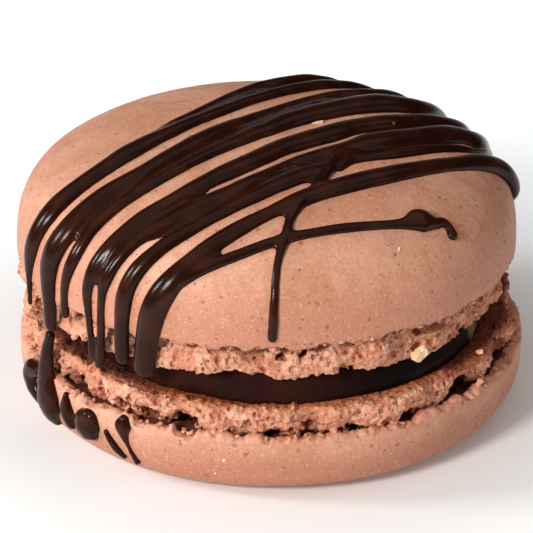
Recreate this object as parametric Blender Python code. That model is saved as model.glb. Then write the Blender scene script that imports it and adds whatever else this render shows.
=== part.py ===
"""Chocolate macaron: two almond shells with spongy feet, a ganache filling and a poured chocolate drizzle.

The origin is the centre of the flat spot that the macaron rests on, +Z is up and -Y is the front.
Routes of the drizzle are laid out on the flattened shell: a point's distance from the origin is the
distance run over the surface from the top of the dome, so a route past the rim hangs straight down.
"""
import math
import random

import bmesh
import bpy
from mathutils import Vector

MM = 0.001

# Top shell: the rim plane is where the dome is widest, and its own frame has that plane at height zero
TOP_RADIUS = 22.5 * MM
TOP_RIM_HEIGHT = 14.68 * MM
DOME_HEIGHT = 10.26 * MM
DOME_SIDE_POWER = 2.69
DOME_CROWN_POWER = 3.0
DOME_ROWS = 10
TOP_SHIFT = -0.54 * MM
TOP_TILT = math.radians(-1.8)
TOP_FOOT_RADIUS = 21.33 * MM
TOP_FOOT_DEPTH = 3.55 * MM
TOP_PHASE = 0.8
TOP_SEED = 11

# Bottom shell
BASE_RADIUS = 16.8 * MM
BOTTOM_RADIUS = 22.8 * MM
BOTTOM_RIM_HEIGHT = 5.79 * MM
BOTTOM_SIDE_POWER = 3.1
BOTTOM_ROWS = 8
BOTTOM_FOOT_RADIUS = 21.9 * MM
BOTTOM_FOOT_TOP = 9.05 * MM
BOTTOM_PHASE = 2.4
BOTTOM_SEED = 29

# Both shells
SHELL_UNEVENNESS = 0.11 * MM
CAP_SEGMENTS = 70
CAP_FLOOR = 0.1 * MM
SKIRT_DEPTH = 0.55 * MM
SKIRT_EDGE = 0.12 * MM
SKIRT_LIP = 0.9 * MM
SKIRT_RAGGEDNESS = 0.13 * MM

# Spongy feet
FOOT_SEGMENTS = 96
FOOT_ROWS = 5
FOOT_JOINT = 0.2 * MM
FOOT_ROOT = 0.9 * MM
FOOT_BOW = 0.5 * MM
FOOT_EDGE_INSET = 0.4 * MM
FOOT_FACE_FLAT = 5.5 * MM
FOOT_FACE_EDGE = 2.2 * MM
FOOT_FACE_SLOPE = 0.12 * MM
GROOVE_DEPTH = 0.9 * MM
FOOT_RUFFLE = 0.13 * MM
LUMP_COUNT = 150
LUMP_SPREAD = (0.7 * MM, 1.7 * MM)
LUMP_HEIGHT = (0.12 * MM, 0.42 * MM)
PIT_SHARE = -1.4
DEEPEST_PIT = -1.1 * MM
HIGHEST_LUMP = 0.75 * MM

# Large bubbles and bulges of the feet: (bearing in degrees, height in mm in the shell's own frame,
# spread in mm, depth in mm, negative for a hole)
TOP_MARKS = [
    (-176, -2.1, 1.2, 1.7), (-140, -1.2, 0.7, -1.0), (-106, -0.8, 0.7, -0.9), (-98, -0.5, 0.8, -0.8),
    (-87, -1.7, 0.7, -1.0), (-80, -1.8, 0.7, -1.0), (-71, -2.9, 0.7, -1.0), (-45, -0.7, 0.8, -0.9),
]
BOTTOM_MARKS = [
    (-177, 8.9, 1.3, -0.6), (-144, 6.5, 0.8, -1.1), (-127, 7.1, 0.6, -0.9), (-120, 6.9, 0.9, -1.2),
    (-110, 6.4, 0.9, -1.1), (-97, 6.3, 0.8, -0.9), (-72, 6.2, 0.8, -0.9), (-57, 6.3, 0.8, -0.9),
    (-38, 6.3, 1.2, -1.2), (-20, 7.5, 1.1, -1.2),
]

# Filling: its top follows the tilted foot above it
GANACHE_RADIUS = 20.2 * MM
GANACHE_GAP = 0.32 * MM
GANACHE_BULGE = 0.3 * MM
GANACHE_EDGE_ROWS = 5
GANACHE_FLAT_SHARE = 0.7
GANACHE_WAVE = 0.22 * MM
GANACHE_RECESS = 1.5 * MM
GANACHE_RECESS_BEARING = math.radians(-150)
GANACHE_RECESS_SPREAD = 0.6
GANACHE_SEGMENTS = 60

# Chocolate
BEAD_THICKNESS = 0.14 * MM
BEAD_THICKNESS_SHARE = 0.3
BEAD_SUNK_SHARE = 0.75
BEAD_ENDS = ((0.42, 0.45), (0.25, 0.82))
STATION_GAP = 2.3 * MM
TURN_GAP = 0.4 * MM
TURN_LIMIT = math.radians(24)
STRAND_SIDES = 8
RUN_SIDES = 6

# Each strand over the top shell: points (right, back, width, lift) in mm over the flattened shell.
# The lift, which may be left out, raises the strand where it lies over another.
STRANDS = {
    "first": [(-11.0, -2.0, 0.9), (-8.1, 3.6, 1.0), (-4.6, 7.6, 1.1), (-1.0, 11.4, 1.4, 0.1),
              (3.3, 14.9, 1.4, 0.35)],
    "second": [(-19.3, -8.6, 2.4), (-15.4, -6.2, 2.1), (-12.0, -2.9, 2.4), (-8.3, 0.8, 1.8),
               (-4.7, 4.4, 1.6), (0.7, 9.7, 1.7), (4.5, 12.9, 1.9), (7.3, 15.1, 1.7)],
    "third": [(-17.4, -12.0, 2.6), (-13.6, -9.3, 2.2), (-11.0, -7.3, 1.8), (-8.3, -4.6, 1.9),
              (-4.9, -0.9, 2.3), (-1.1, 3.1, 1.6), (2.8, 7.0, 1.1), (6.3, 9.8, 1.4),
              (10.5, 12.5, 1.4, 0.15)],
    "fourth": [(-15.2, -13.3, 1.4), (-9.8, -9.1, 1.5), (-4.6, -4.1, 1.6), (-1.2, -0.8, 2.1),
               (2.2, 2.5, 2.6), (6.0, 5.2, 2.8), (9.8, 7.8, 3.3), (13.1, 9.4, 2.9), (14.9, 11.0, 2.5)],
    "fifth": [(-11.5, -14.6, 1.7), (-8.0, -12.3, 1.9), (-4.7, -9.6, 2.2), (-1.4, -6.7, 2.6),
              (2.1, -3.5, 2.7), (5.6, -0.6, 2.9), (7.7, 1.3, 2.4), (11.4, 3.5, 2.4), (14.0, 5.3, 2.2),
              (17.8, 8.5, 2.0)],
    "sixth": [(-11.5, -16.8, 1.6), (-8.0, -15.1, 2.1), (-4.7, -12.9, 2.2), (-1.1, -9.8, 1.7),
              (1.7, -7.3, 1.5), (4.3, -5.3, 1.9), (7.7, -3.2, 2.6), (9.5, -1.9, 3.1), (13.1, 0.6, 2.7),
              (16.9, 3.7, 2.8), (19.3, 5.7, 2.5)],
    "seventh": [(-6.1, -16.2, 1.4), (-2.7, -13.8, 1.5), (0.7, -11.1, 1.9), (3.6, -8.9, 2.2),
                (6.1, -6.9, 1.4), (8.1, -5.4, 0.8), (11.7, -3.3, 1.2), (15.4, -0.6, 1.0), (19.8, 3.3, 0.7)],
    "eighth": [(-6.6, -19.4, 2.5), (-2.8, -17.0, 1.9), (0.8, -14.6, 1.6), (4.2, -12.2, 2.1),
               (9.4, -8.6, 2.3), (13.0, -6.0, 2.1), (17.0, -2.7, 1.8), (20.8, 1.0, 2.3, 0.15),
               (24.0, 3.4, 2.1, 0.3)],
    "ninth": [(-9.3, -21.9, 1.5), (-6.1, -20.9, 1.0), (-2.4, -19.7, 1.0), (1.1, -18.3, 0.9),
              (6.4, -16.5, 0.9), (11.8, -14.5, 0.8), (13.8, -13.3, 2.1), (15.3, -13.0, 1.0),
              (15.9, -12.3, 0.8), (16.6, -12.6, 0.8), (17.2, -13.4, 0.9)],
    "crossing": [(9.3, -0.6, 1.2, 0.5), (7.6, -3.0, 1.1, 0.5), (6.3, -5.9, 1.0, 0.35),
                 (5.1, -8.9, 0.9, 0.1), (4.1, -11.7, 0.9, 0.5), (2.8, -14.8, 0.8, 0.05),
                 (1.7, -18.1, 0.8, 0.25), (1.0, -21.4, 0.8, 0.0), (0.75, -27.4, 0.8, 0.0)],
}

# The two ends of a strand that run over the rim: points (bearing in degrees, mm past the rim, width in mm)
DRIPS = {
    "second": [(-157.6, 2.6, 0.5), (-157.4, 0.0, 0.8), (-156.4, -2.8, 2.0)],
    "third": [(-146.6, 2.8, 1.4), (-146.8, -0.6, 1.9), (-146.9, -3.4, 2.5)],
    "fourth": [(-140.6, 0.9, 0.9), (-140.8, -1.5, 1.0), (-139.3, -4.8, 1.5)],
    "fifth": [(-131.7, 3.0, 0.6), (-132.6, -0.7, 0.7), (-132.9, -3.4, 1.5)],
    "sixth": [(-129.6, 3.0, 0.6), (-129.2, -2.1, 0.8), (-127.9, -3.9, 1.7)],
    "seventh": [(-123.6, 2.9, 1.3), (-123.7, -0.9, 1.3), (-121.6, -5.0, 1.8)],
    "eighth": [(-118.2, 3.3, 2.1), (-117.2, -0.7, 2.4), (-114.6, -3.9, 3.2)],
}
REAR_DRIPS = {
    "first": [(66, -4.0, 1.1), (66, -1.6, 1.1)], "second": [(57, -2.4, 1.4), (57, 2.2, 1.4)],
    "third": [(50, -2.4, 1.3), (50, 0.6, 1.3)], "fourth": [(43, -2.4, 1.7), (43, 2.7, 1.7)],
    "fifth": [(36, -2.4, 1.6), (36, 1.2, 1.6)], "sixth": [(29, -2.4, 1.6), (29, 2.3, 1.6)],
    "seventh": [(24, -3.6, 1.2), (24, -1.2, 1.2)], "eighth": [(13, -1.6, 1.7), (15, 1.6, 1.5)],
}

# Chocolate that ran on down the bottom shell: points (bearing in degrees, height in mm, width in mm)
RUNS = {
    "long": [(-149.5, 10.8, 0.9), (-151, 8.8, 1.4), (-151.5, 6.6, 2.1), (-150.5, 4.3, 3.0),
             (-150.5, 2.9, 2.5), (-150, 1.9, 1.2)],
    "curl": [(-152, 6.1, 0.9), (-158, 5.8, 1.2), (-162, 4.8, 1.5), (-160.5, 3.5, 1.3), (-156, 2.7, 0.9)],
    "leaf": [(-143.5, 5.9, 0.6), (-143, 4.4, 1.8), (-141.8, 2.9, 1.3)],
    "lobe_left": [(-138.3, 4.7, 1.9), (-137.3, 3.4, 1.8)],
    "lobe_right": [(-134.9, 5.2, 1.8), (-134.6, 4.1, 2.2), (-134.3, 3.2, 1.5)],
    "sliver": [(-130.7, 4.2, 0.9), (-127.2, 2.7, 1.1), (-124.5, 1.9, 0.8)],
    "tear": [(-125.5, 6.3, 0.9), (-126, 5.3, 1.7), (-125.2, 3.9, 0.8), (-124, 2.9, 0.5),
             (-122.3, 1.9, 0.8)],
}

# Looks: colour and roughness of each node
LOOKS = {
    "top_shell": ((0.52, 0.26, 0.17), 0.75),
    "bottom_shell": ((0.52, 0.26, 0.17), 0.75),
    "ganache": ((0.025, 0.008, 0.005), 0.4),
}
CREASE = math.radians(35)
WELD = 0.002 * MM


def clear_scene():
    """Remove every object of the scene."""
    for old in list(bpy.data.objects):
        bpy.data.objects.remove(old, do_unlink=True)


def new_object(name, bm):
    """Turn a bmesh into an object of the scene, with its faces pointing outwards."""
    bmesh.ops.recalc_face_normals(bm, faces=bm.faces)
    mesh = bpy.data.meshes.new(name)
    bm.to_mesh(mesh)
    bm.free()
    obj = bpy.data.objects.new(name, mesh)
    bpy.context.scene.collection.objects.link(obj)
    return obj


def turned(name, profile, segments, shape):
    """A closed solid turned about Z from (radius, height) points that start and end on the axis.

    shape takes each point, its distance from the axis and its bearing, and returns its new place.
    """
    bm = bmesh.new()
    points = [bm.verts.new((radius, 0.0, height)) for radius, height in profile]
    edges = [bm.edges.new(pair) for pair in zip(points, points[1:])]
    bmesh.ops.spin(bm, geom=points + edges, cent=(0, 0, 0), axis=(0, 0, 1),
                   angle=2 * math.pi, steps=segments, use_merge=True)
    bmesh.ops.remove_doubles(bm, verts=bm.verts, dist=WELD)
    for vert in bm.verts:
        place = vert.co.copy()
        vert.co = shape(place, math.hypot(place.x, place.y), math.atan2(place.y, place.x))
    return new_object(name, bm)


def moved(place, distance, push, lift=0.0):
    """A point pushed outwards from the axis and lifted."""
    scale = (distance + push) / distance
    return Vector((place.x * scale, place.y * scale, place.z + lift))


def spaced_out(low, high, count):
    """Evenly spaced values from low to high, both included."""
    return [low + (high - low) * step / (count - 1) for step in range(count)]


def quarter_curve(angle, power):
    """The shares (cosine side, sine side) of a rounded quarter turn with the given power."""
    return abs(math.cos(angle)) ** (2 / power), abs(math.sin(angle)) ** (2 / power)


def dome_point(angle):
    """(radius, height over the rim plane) of the dome, from 0 at the rim to a quarter turn at the top."""
    across, _ = quarter_curve(angle, DOME_SIDE_POWER)
    _, up = quarter_curve(angle, DOME_CROWN_POWER)
    return TOP_RADIUS * across, DOME_HEIGHT * up


def uneven(bearing, phase):
    """A slow change of radius round a shell, as no shell is quite round."""
    waves = math.sin(2 * bearing + phase) + 0.6 * math.sin(3 * bearing + 2.1 * phase)
    return SHELL_UNEVENNESS * (waves + 0.4 * math.sin(7 * bearing + 1.3 * phase))


def ragged(bearing, phase):
    """The uneven line of a skirt's free edge, up or down."""
    return SKIRT_RAGGEDNESS * math.sin(16 * bearing) * math.sin(5 * bearing + phase)


class DomeChart:
    """Carries points of the flattened shell onto the dome and down past its rim."""

    def __init__(self, steps=240):
        quarter = math.pi / 2
        self.rows = [(0.0, *dome_point(quarter))]
        for step in range(1, steps + 1):
            radius, height = dome_point(quarter * (1 - step / steps) ** 1.5)
            run, last_radius, last_height = self.rows[-1]
            run += math.hypot(radius - last_radius, height - last_height)
            self.rows.append((run, radius, height))
        self.rim = self.rows[-1][0]

    def section(self, run):
        """(radius, height, angle of the normal above level) at a distance over the surface."""
        if run >= self.rim:
            return TOP_RADIUS, self.rim - run, 0.0
        for low, high in zip(self.rows, self.rows[1:]):
            if high[0] >= run:
                break
        share = (run - low[0]) / (high[0] - low[0])
        radius = low[1] + share * (high[1] - low[1])
        height = low[2] + share * (high[2] - low[2])
        return radius, height, math.atan2(high[1] - low[1], low[2] - high[2])

    def place(self, flat, lift):
        """The point and the outward normal for a point of the flattened shell."""
        radius, height, slope = self.section(flat.length)
        bearing = math.atan2(flat.y, flat.x)
        out = Vector((math.cos(bearing), math.sin(bearing), 0))
        normal = out * math.cos(slope) + Vector((0, 0, math.sin(slope)))
        bare = out * (radius + uneven(bearing, TOP_PHASE)) + Vector((0, 0, height))
        return bare + normal * lift, normal

    def past_rim(self, bearing, past, width):
        """A point of the flattened shell, in mm, from a bearing and a distance past the rim."""
        run = self.rim / MM + past
        return run * math.cos(math.radians(bearing)), run * math.sin(math.radians(bearing)), width, 0.0


def smooth_route(points, steps=10):
    """A smooth curve through points of any number of values, each a tuple."""
    ends = [points[0]] + list(points) + [points[-1]]
    curve = []
    for before, start, end, after in zip(ends, ends[1:], ends[2:], ends[3:]):
        for step in range(steps):
            t = step / steps
            curve.append([
                0.5 * (2 * b + (c - a) * t + (2 * a - 5 * b + 4 * c - d) * t * t
                       + (3 * b - 3 * c + d - a) * t ** 3)
                for a, b, c, d in zip(before, start, end, after)
            ])
    curve.append(list(points[-1]))
    return curve


def stations(rows):
    """The rows that a bead needs: spaced out on the straight and closer together in a bend."""
    kept = [rows[0]]
    heading = rows[1][0] - rows[0][0]
    for row, following in zip(rows[1:], rows[2:]):
        gone = (row[0] - kept[-1][0]).length
        ahead = following[0] - row[0]
        if gone >= STATION_GAP or (gone >= TURN_GAP and heading.angle(ahead, 0.0) > TURN_LIMIT):
            kept.append(row)
            heading = ahead
    if (rows[-1][0] - kept[-1][0]).length < TURN_GAP and len(kept) > 1:
        kept.pop()
    return kept + [rows[-1]]


def bead(name, rows, sides):
    """A closed bead of chocolate along rows of (centre, outward normal, width).

    It is an oval tube, part of it sunk in the surface, with both ends rounded off.
    """
    kept = stations(rows)
    last = len(kept) - 1
    rings = []
    for index, (centre, normal, width) in enumerate(kept):
        along = (kept[min(index + 1, last)][0] - kept[max(index - 1, 0)][0]).normalized()
        outward = (normal - along * normal.dot(along)).normalized()
        frame = (along, outward, width)
        if index == 0:
            rings += [(centre - along * back * width, *frame, share) for back, share in BEAD_ENDS]
        rings.append((centre, *frame, 1.0))
        if index == last:
            rings += [(centre + along * on * width, *frame, share) for on, share in reversed(BEAD_ENDS)]
    bm = bmesh.new()
    loops = []
    for centre, along, outward, width, share in rings:
        side = along.cross(outward)
        high = BEAD_THICKNESS + BEAD_THICKNESS_SHARE * width
        loop = []
        for corner in range(sides):
            angle = 2 * math.pi * (corner + 0.5) / sides
            lift = math.sin(angle) * high * (1.0 if math.sin(angle) > 0 else BEAD_SUNK_SHARE)
            place = centre + share * (side * 0.5 * width * math.cos(angle) + outward * lift)
            loop.append(bm.verts.new(place))
        loops.append(loop)
    for loop, following in zip(loops, loops[1:]):
        for corner in range(sides):
            beside = (corner + 1) % sides
            bm.faces.new((loop[corner], loop[beside], following[beside], following[corner]))
    bm.faces.new(loops[0])
    bm.faces.new(loops[-1])
    return new_object(name, bm)


def strand(name, chart):
    """One strand of the drizzle, from its front drip over the dome to its rear drip."""
    points = [chart.past_rim(*end) for end in DRIPS.get(name, [])]
    points += [(*point, 0.0) if len(point) == 3 else point for point in STRANDS[name]]
    points += [chart.past_rim(*end) for end in REAR_DRIPS.get(name, [])]
    rows = []
    for right, rear, width, lift in smooth_route(points):
        rows.append((*chart.place(Vector((right, rear)) * MM, lift * MM), width * MM))
    return bead(name, rows, STRAND_SIDES)


def bottom_radius(height):
    """The outer radius of the bottom cap at a height, which stays the same above the cap's rim."""
    if height >= BOTTOM_RIM_HEIGHT:
        return BOTTOM_RADIUS
    down = 1 - height / BOTTOM_RIM_HEIGHT
    across = (1 - down ** BOTTOM_SIDE_POWER) ** (1 / BOTTOM_SIDE_POWER)
    return BASE_RADIUS + (BOTTOM_RADIUS - BASE_RADIUS) * across


def run_down(name):
    """One run of chocolate down the side of the bottom shell."""
    rows = []
    nudge = 0.05 * MM
    for bearing, height, width in smooth_route(RUNS[name]):
        angle, level = math.radians(bearing), height * MM
        out = Vector((math.cos(angle), math.sin(angle), 0))
        lean = (bottom_radius(level + nudge) - bottom_radius(level - nudge)) / (2 * nudge)
        centre = out * (bottom_radius(level) + uneven(angle, BOTTOM_PHASE)) + Vector((0, 0, level))
        rows.append((centre, (out - Vector((0, 0, lean))).normalized(), width * MM))
    return bead(name, rows, RUN_SIDES)


def lumps(seed, low, high):
    """Seeded small lumps and pits of a foot, each (bearing, height, spread, depth)."""
    draw = random.Random(seed)
    found = []
    for index in range(LUMP_COUNT):
        spread = draw.uniform(*LUMP_SPREAD)
        depth = draw.uniform(*LUMP_HEIGHT) * (1 if index % 3 else PIT_SHARE)
        found.append((draw.uniform(-math.pi, math.pi), draw.uniform(low, high), spread, depth))
    return found


def relief(marks, bearing, height, radius):
    """How far the marks of a foot push its side outwards at a place."""
    push = 0.0
    for centre, level, spread, depth in marks:
        across = ((bearing - centre + math.pi) % (2 * math.pi) - math.pi) * radius
        push += depth * math.exp(-(across ** 2 + (height - level) ** 2) / (2 * spread ** 2))
    return push


def foot(name, free, joined, root, radius, seed, phase, marks):
    """A spongy foot: a disc whose side is lumpy, with a groove where it meets the cap.

    free is the height of the face towards the filling, joined the height where the side meets the cap
    and root the height that the disc reaches inside the cap.
    """
    way = 1 if free > joined else -1
    small = lumps(seed, min(free, joined), max(free, joined))
    large = [(math.radians(mark[0]), *(value * MM for value in mark[1:])) for mark in marks]
    profile = [(0.0, free), (radius - FOOT_FACE_FLAT, free),
               (radius - FOOT_FACE_EDGE, free - way * FOOT_FACE_SLOPE)]
    for share in spaced_out(0, 1, FOOT_ROWS + 1):
        bow = FOOT_BOW * (1 - (2 * share - 0.75) ** 2)
        profile.append((radius - FOOT_EDGE_INSET + bow, free + (joined - free) * share))
    profile += [(radius - GROOVE_DEPTH, joined - way * FOOT_JOINT), (radius - FOOT_FACE_EDGE, root),
                (0.0, root)]

    def shape(place, distance, bearing):
        if distance < radius - FOOT_FACE_EDGE + WELD:
            return place
        push = max(DEEPEST_PIT, min(HIGHEST_LUMP, relief(small, bearing, place.z, radius)))
        push += relief(large, bearing, place.z, radius) + uneven(bearing, phase)
        ruffle = abs(math.sin(23 * bearing + phase) + math.sin(9 * bearing + 2 * phase)) * FOOT_RUFFLE
        at_edge = abs(place.z - free) < WELD
        return moved(place, distance, push, -way * ruffle if at_edge else 0.0)

    return turned(name, profile, FOOT_SEGMENTS, shape)


def top_cap():
    """The smooth dome with its turned-in skirt, closed underneath."""
    profile = [dome_point(math.pi / 2 * (1 - share) ** 1.35) for share in spaced_out(0, 1, DOME_ROWS)]
    profile[0] = (0.0, DOME_HEIGHT)
    profile += [(TOP_RADIUS - SKIRT_EDGE, -0.6 * SKIRT_DEPTH), (TOP_RADIUS - SKIRT_LIP, -SKIRT_DEPTH),
                (TOP_FOOT_RADIUS - GROOVE_DEPTH, CAP_FLOOR), (0.0, CAP_FLOOR)]

    def shape(place, distance, bearing):
        if distance < 0.5 * TOP_RADIUS:
            return place
        drop = ragged(bearing, TOP_PHASE) if place.z < -WELD else 0.0
        return moved(place, distance, uneven(bearing, TOP_PHASE), drop)

    return turned("top_shell", profile, CAP_SEGMENTS, shape)


def bottom_cap():
    """The bottom shell's smooth cap, flat where it rests, open side up and closed on top."""
    profile = [(0.0, 0.0)]
    for angle in spaced_out(0, math.pi / 2, BOTTOM_ROWS):
        down, across = quarter_curve(angle, BOTTOM_SIDE_POWER)
        profile.append((BASE_RADIUS + (BOTTOM_RADIUS - BASE_RADIUS) * across,
                        BOTTOM_RIM_HEIGHT * (1 - down)))
    rim = BOTTOM_RIM_HEIGHT
    profile += [(BOTTOM_RADIUS - SKIRT_EDGE, rim + 0.6 * SKIRT_DEPTH),
                (BOTTOM_RADIUS - SKIRT_LIP, rim + SKIRT_DEPTH),
                (BOTTOM_FOOT_RADIUS - GROOVE_DEPTH, rim - CAP_FLOOR), (0.0, rim - CAP_FLOOR)]

    def shape(place, distance, bearing):
        if distance <= BASE_RADIUS + WELD:
            return place
        lift = ragged(bearing, BOTTOM_PHASE) if place.z > rim + WELD else 0.0
        return moved(place, distance, uneven(bearing, BOTTOM_PHASE), lift)

    return turned("bottom_shell", profile, CAP_SEGMENTS, shape)


def ganache():
    """The filling: a soft-edged disc, set back on the left and thicker where the foot over it is higher."""
    low = BOTTOM_FOOT_TOP + GANACHE_GAP
    high = TOP_RIM_HEIGHT - TOP_FOOT_DEPTH * math.cos(TOP_TILT) - GANACHE_GAP
    middle, half = (low + high) / 2, (high - low) / 2
    profile = [(0.0, high)]
    for angle in spaced_out(math.pi / 2, -math.pi / 2, GANACHE_EDGE_ROWS):
        profile.append((GANACHE_RADIUS + GANACHE_BULGE * math.cos(angle), middle + half * math.sin(angle)))
    profile.append((0.0, low))

    def shape(place, distance, bearing):
        share = (place.z - low) / (high - low)
        lift = share * math.tan(TOP_TILT) * place.y
        if distance < GANACHE_FLAT_SHARE * GANACHE_RADIUS:
            return place + Vector((0, 0, lift))
        turn = (bearing - GANACHE_RECESS_BEARING + math.pi) % (2 * math.pi) - math.pi
        recess = GANACHE_RECESS * math.exp(-turn ** 2 / GANACHE_RECESS_SPREAD)
        wave = GANACHE_WAVE * math.sin(6 * bearing) * math.sin(5 * bearing + 1)
        return moved(place, distance, wave - recess, lift)

    return turned("ganache", profile, GANACHE_SEGMENTS, shape)


def fuse(body, pieces, solver="EXACT"):
    """Join a collection of pieces to a body by one Boolean union, and drop sealed hollows and scraps."""
    group = bpy.data.collections.new(body.name + "_pieces")
    bpy.context.scene.collection.children.link(group)
    for piece in pieces:
        bpy.context.scene.collection.objects.unlink(piece)
        group.objects.link(piece)
    union = body.modifiers.new("Union", "BOOLEAN")
    union.operation = "UNION"
    union.operand_type = "COLLECTION"
    union.collection = group
    union.solver = solver
    with bpy.context.temp_override(object=body, active_object=body):
        bpy.ops.object.modifier_apply(modifier=union.name)
    for piece in pieces:
        bpy.data.objects.remove(piece, do_unlink=True)
    bpy.data.collections.remove(group)
    keep_outer_surface(body)


def keep_outer_surface(body):
    """Keep the largest connected surface of a mesh and delete the rest."""
    bm = bmesh.new()
    bm.from_mesh(body.data)
    bmesh.ops.remove_doubles(bm, verts=bm.verts, dist=2 * WELD)
    waiting = set(bm.verts)
    groups = []
    while waiting:
        start = waiting.pop()
        group, front = {start}, [start]
        while front:
            for edge in front.pop().link_edges:
                for vert in edge.verts:
                    if vert in waiting:
                        waiting.discard(vert)
                        group.add(vert)
                        front.append(vert)
        groups.append(group)
    largest = max(groups, key=len)
    for group in groups:
        if group is not largest:
            bmesh.ops.delete(bm, geom=list(group), context="VERTS")
    bm.to_mesh(body.data)
    bm.free()


def dress(body):
    """Give a node its material, and smooth shading with creases left sharp."""
    colour, roughness = LOOKS[body.name]
    material = bpy.data.materials.new(body.name)
    material.use_nodes = True
    shader = material.node_tree.nodes["Principled BSDF"]
    shader.inputs["Base Color"].default_value = (*colour, 1.0)
    shader.inputs["Roughness"].default_value = roughness
    body.data.materials.clear()
    body.data.materials.append(material)
    body.data.shade_smooth()
    body.data.set_sharp_from_angle(angle=CREASE)


def top_shell():
    """The top shell with its foot and the drizzle, set on the macaron shifted and a little tilted."""
    chart = DomeChart()
    cap = top_cap()
    pieces = [foot("top_foot", -TOP_FOOT_DEPTH, -FOOT_JOINT, FOOT_ROOT, TOP_FOOT_RADIUS, TOP_SEED,
                   TOP_PHASE, TOP_MARKS)]
    pieces += [strand(name, chart) for name in STRANDS]
    fuse(cap, pieces)
    cap.location = (TOP_SHIFT, 0.0, TOP_RIM_HEIGHT)
    cap.rotation_euler = (TOP_TILT, 0.0, 0.0)
    return cap


def bottom_shell():
    """The bottom shell with its foot and the chocolate that ran down it."""
    cap = bottom_cap()
    pieces = [foot("bottom_foot", BOTTOM_FOOT_TOP, BOTTOM_RIM_HEIGHT + FOOT_JOINT,
                   BOTTOM_RIM_HEIGHT - FOOT_ROOT, BOTTOM_FOOT_RADIUS, BOTTOM_SEED, BOTTOM_PHASE,
                   BOTTOM_MARKS)]
    pieces += [run_down(name) for name in RUNS]
    fuse(cap, pieces, solver="MANIFOLD")
    return cap


def main():
    """Build the two shells and the filling."""
    clear_scene()
    for body in (top_shell(), bottom_shell(), ganache()):
        dress(body)


main()
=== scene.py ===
"""Looks of the chocolate macaron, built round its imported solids.

Two almond shells with spongy feet hold a ganache filling, and dark chocolate is poured over the top one.
Lengths are in metres, +Z is up and -Y is the front. The origin is the spot that the macaron rests on.
Routes of the chocolate are laid out on the flattened shell: a point's distance from its middle is the
distance run over the dome from its top, so a route past the rim hangs straight down.
"""

import logging
import math
import random
from contextlib import contextmanager
from dataclasses import dataclass
from enum import Enum
from typing import Callable, Iterator, Optional, Sequence, Union

import bpy
import numpy as np
from mathutils import Euler, Matrix, Vector


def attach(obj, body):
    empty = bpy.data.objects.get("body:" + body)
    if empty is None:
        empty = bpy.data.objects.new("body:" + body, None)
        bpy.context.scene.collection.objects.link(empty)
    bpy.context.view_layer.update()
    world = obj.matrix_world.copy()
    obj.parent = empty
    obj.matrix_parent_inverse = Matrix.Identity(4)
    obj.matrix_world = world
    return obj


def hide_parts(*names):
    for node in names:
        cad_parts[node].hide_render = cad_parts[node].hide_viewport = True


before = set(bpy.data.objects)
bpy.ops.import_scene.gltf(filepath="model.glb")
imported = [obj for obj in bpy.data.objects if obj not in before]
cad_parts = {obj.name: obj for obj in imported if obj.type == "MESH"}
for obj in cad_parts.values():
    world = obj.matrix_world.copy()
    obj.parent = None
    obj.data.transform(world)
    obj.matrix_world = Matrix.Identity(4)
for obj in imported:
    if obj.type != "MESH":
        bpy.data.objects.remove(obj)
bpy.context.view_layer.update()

log = logging.getLogger("macaron")

MM = 0.001
TURN = 2 * math.pi
WELD = 0.002 * MM
UP = np.array([0.0, 0.0, 1.0])
WEIGHT_STEPS = 4
BODY = "root"

Colour = tuple[float, float, float, float]
Profile = Sequence[tuple[float, float]]
Places = Sequence[tuple[float, float, float]]


class Node(Enum):
    """The solids that the pieces stand for."""

    TOP = "top_shell"
    FILLING = "ganache"
    BOTTOM = "bottom_shell"


class Pattern(Enum):
    """The patterns that roughen a surface: soft noise, or lumps with creases between them."""

    CLOUDS = "CLOUDS"
    LUMPS = "VORONOI"


class Carving(Enum):
    """What carving does with its pieces."""

    ADD = "UNION"
    TAKE_OUT = "DIFFERENCE"


def display_colour(red: int, green: int, blue: int) -> Colour:
    """A colour for the shaders from its three values on a display, 0 to 255."""
    linear = [((value / 255 + 0.055) / 1.055) ** 2.4 for value in (red, green, blue)]
    return (linear[0], linear[1], linear[2], 1.0)


# Shaders


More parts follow.
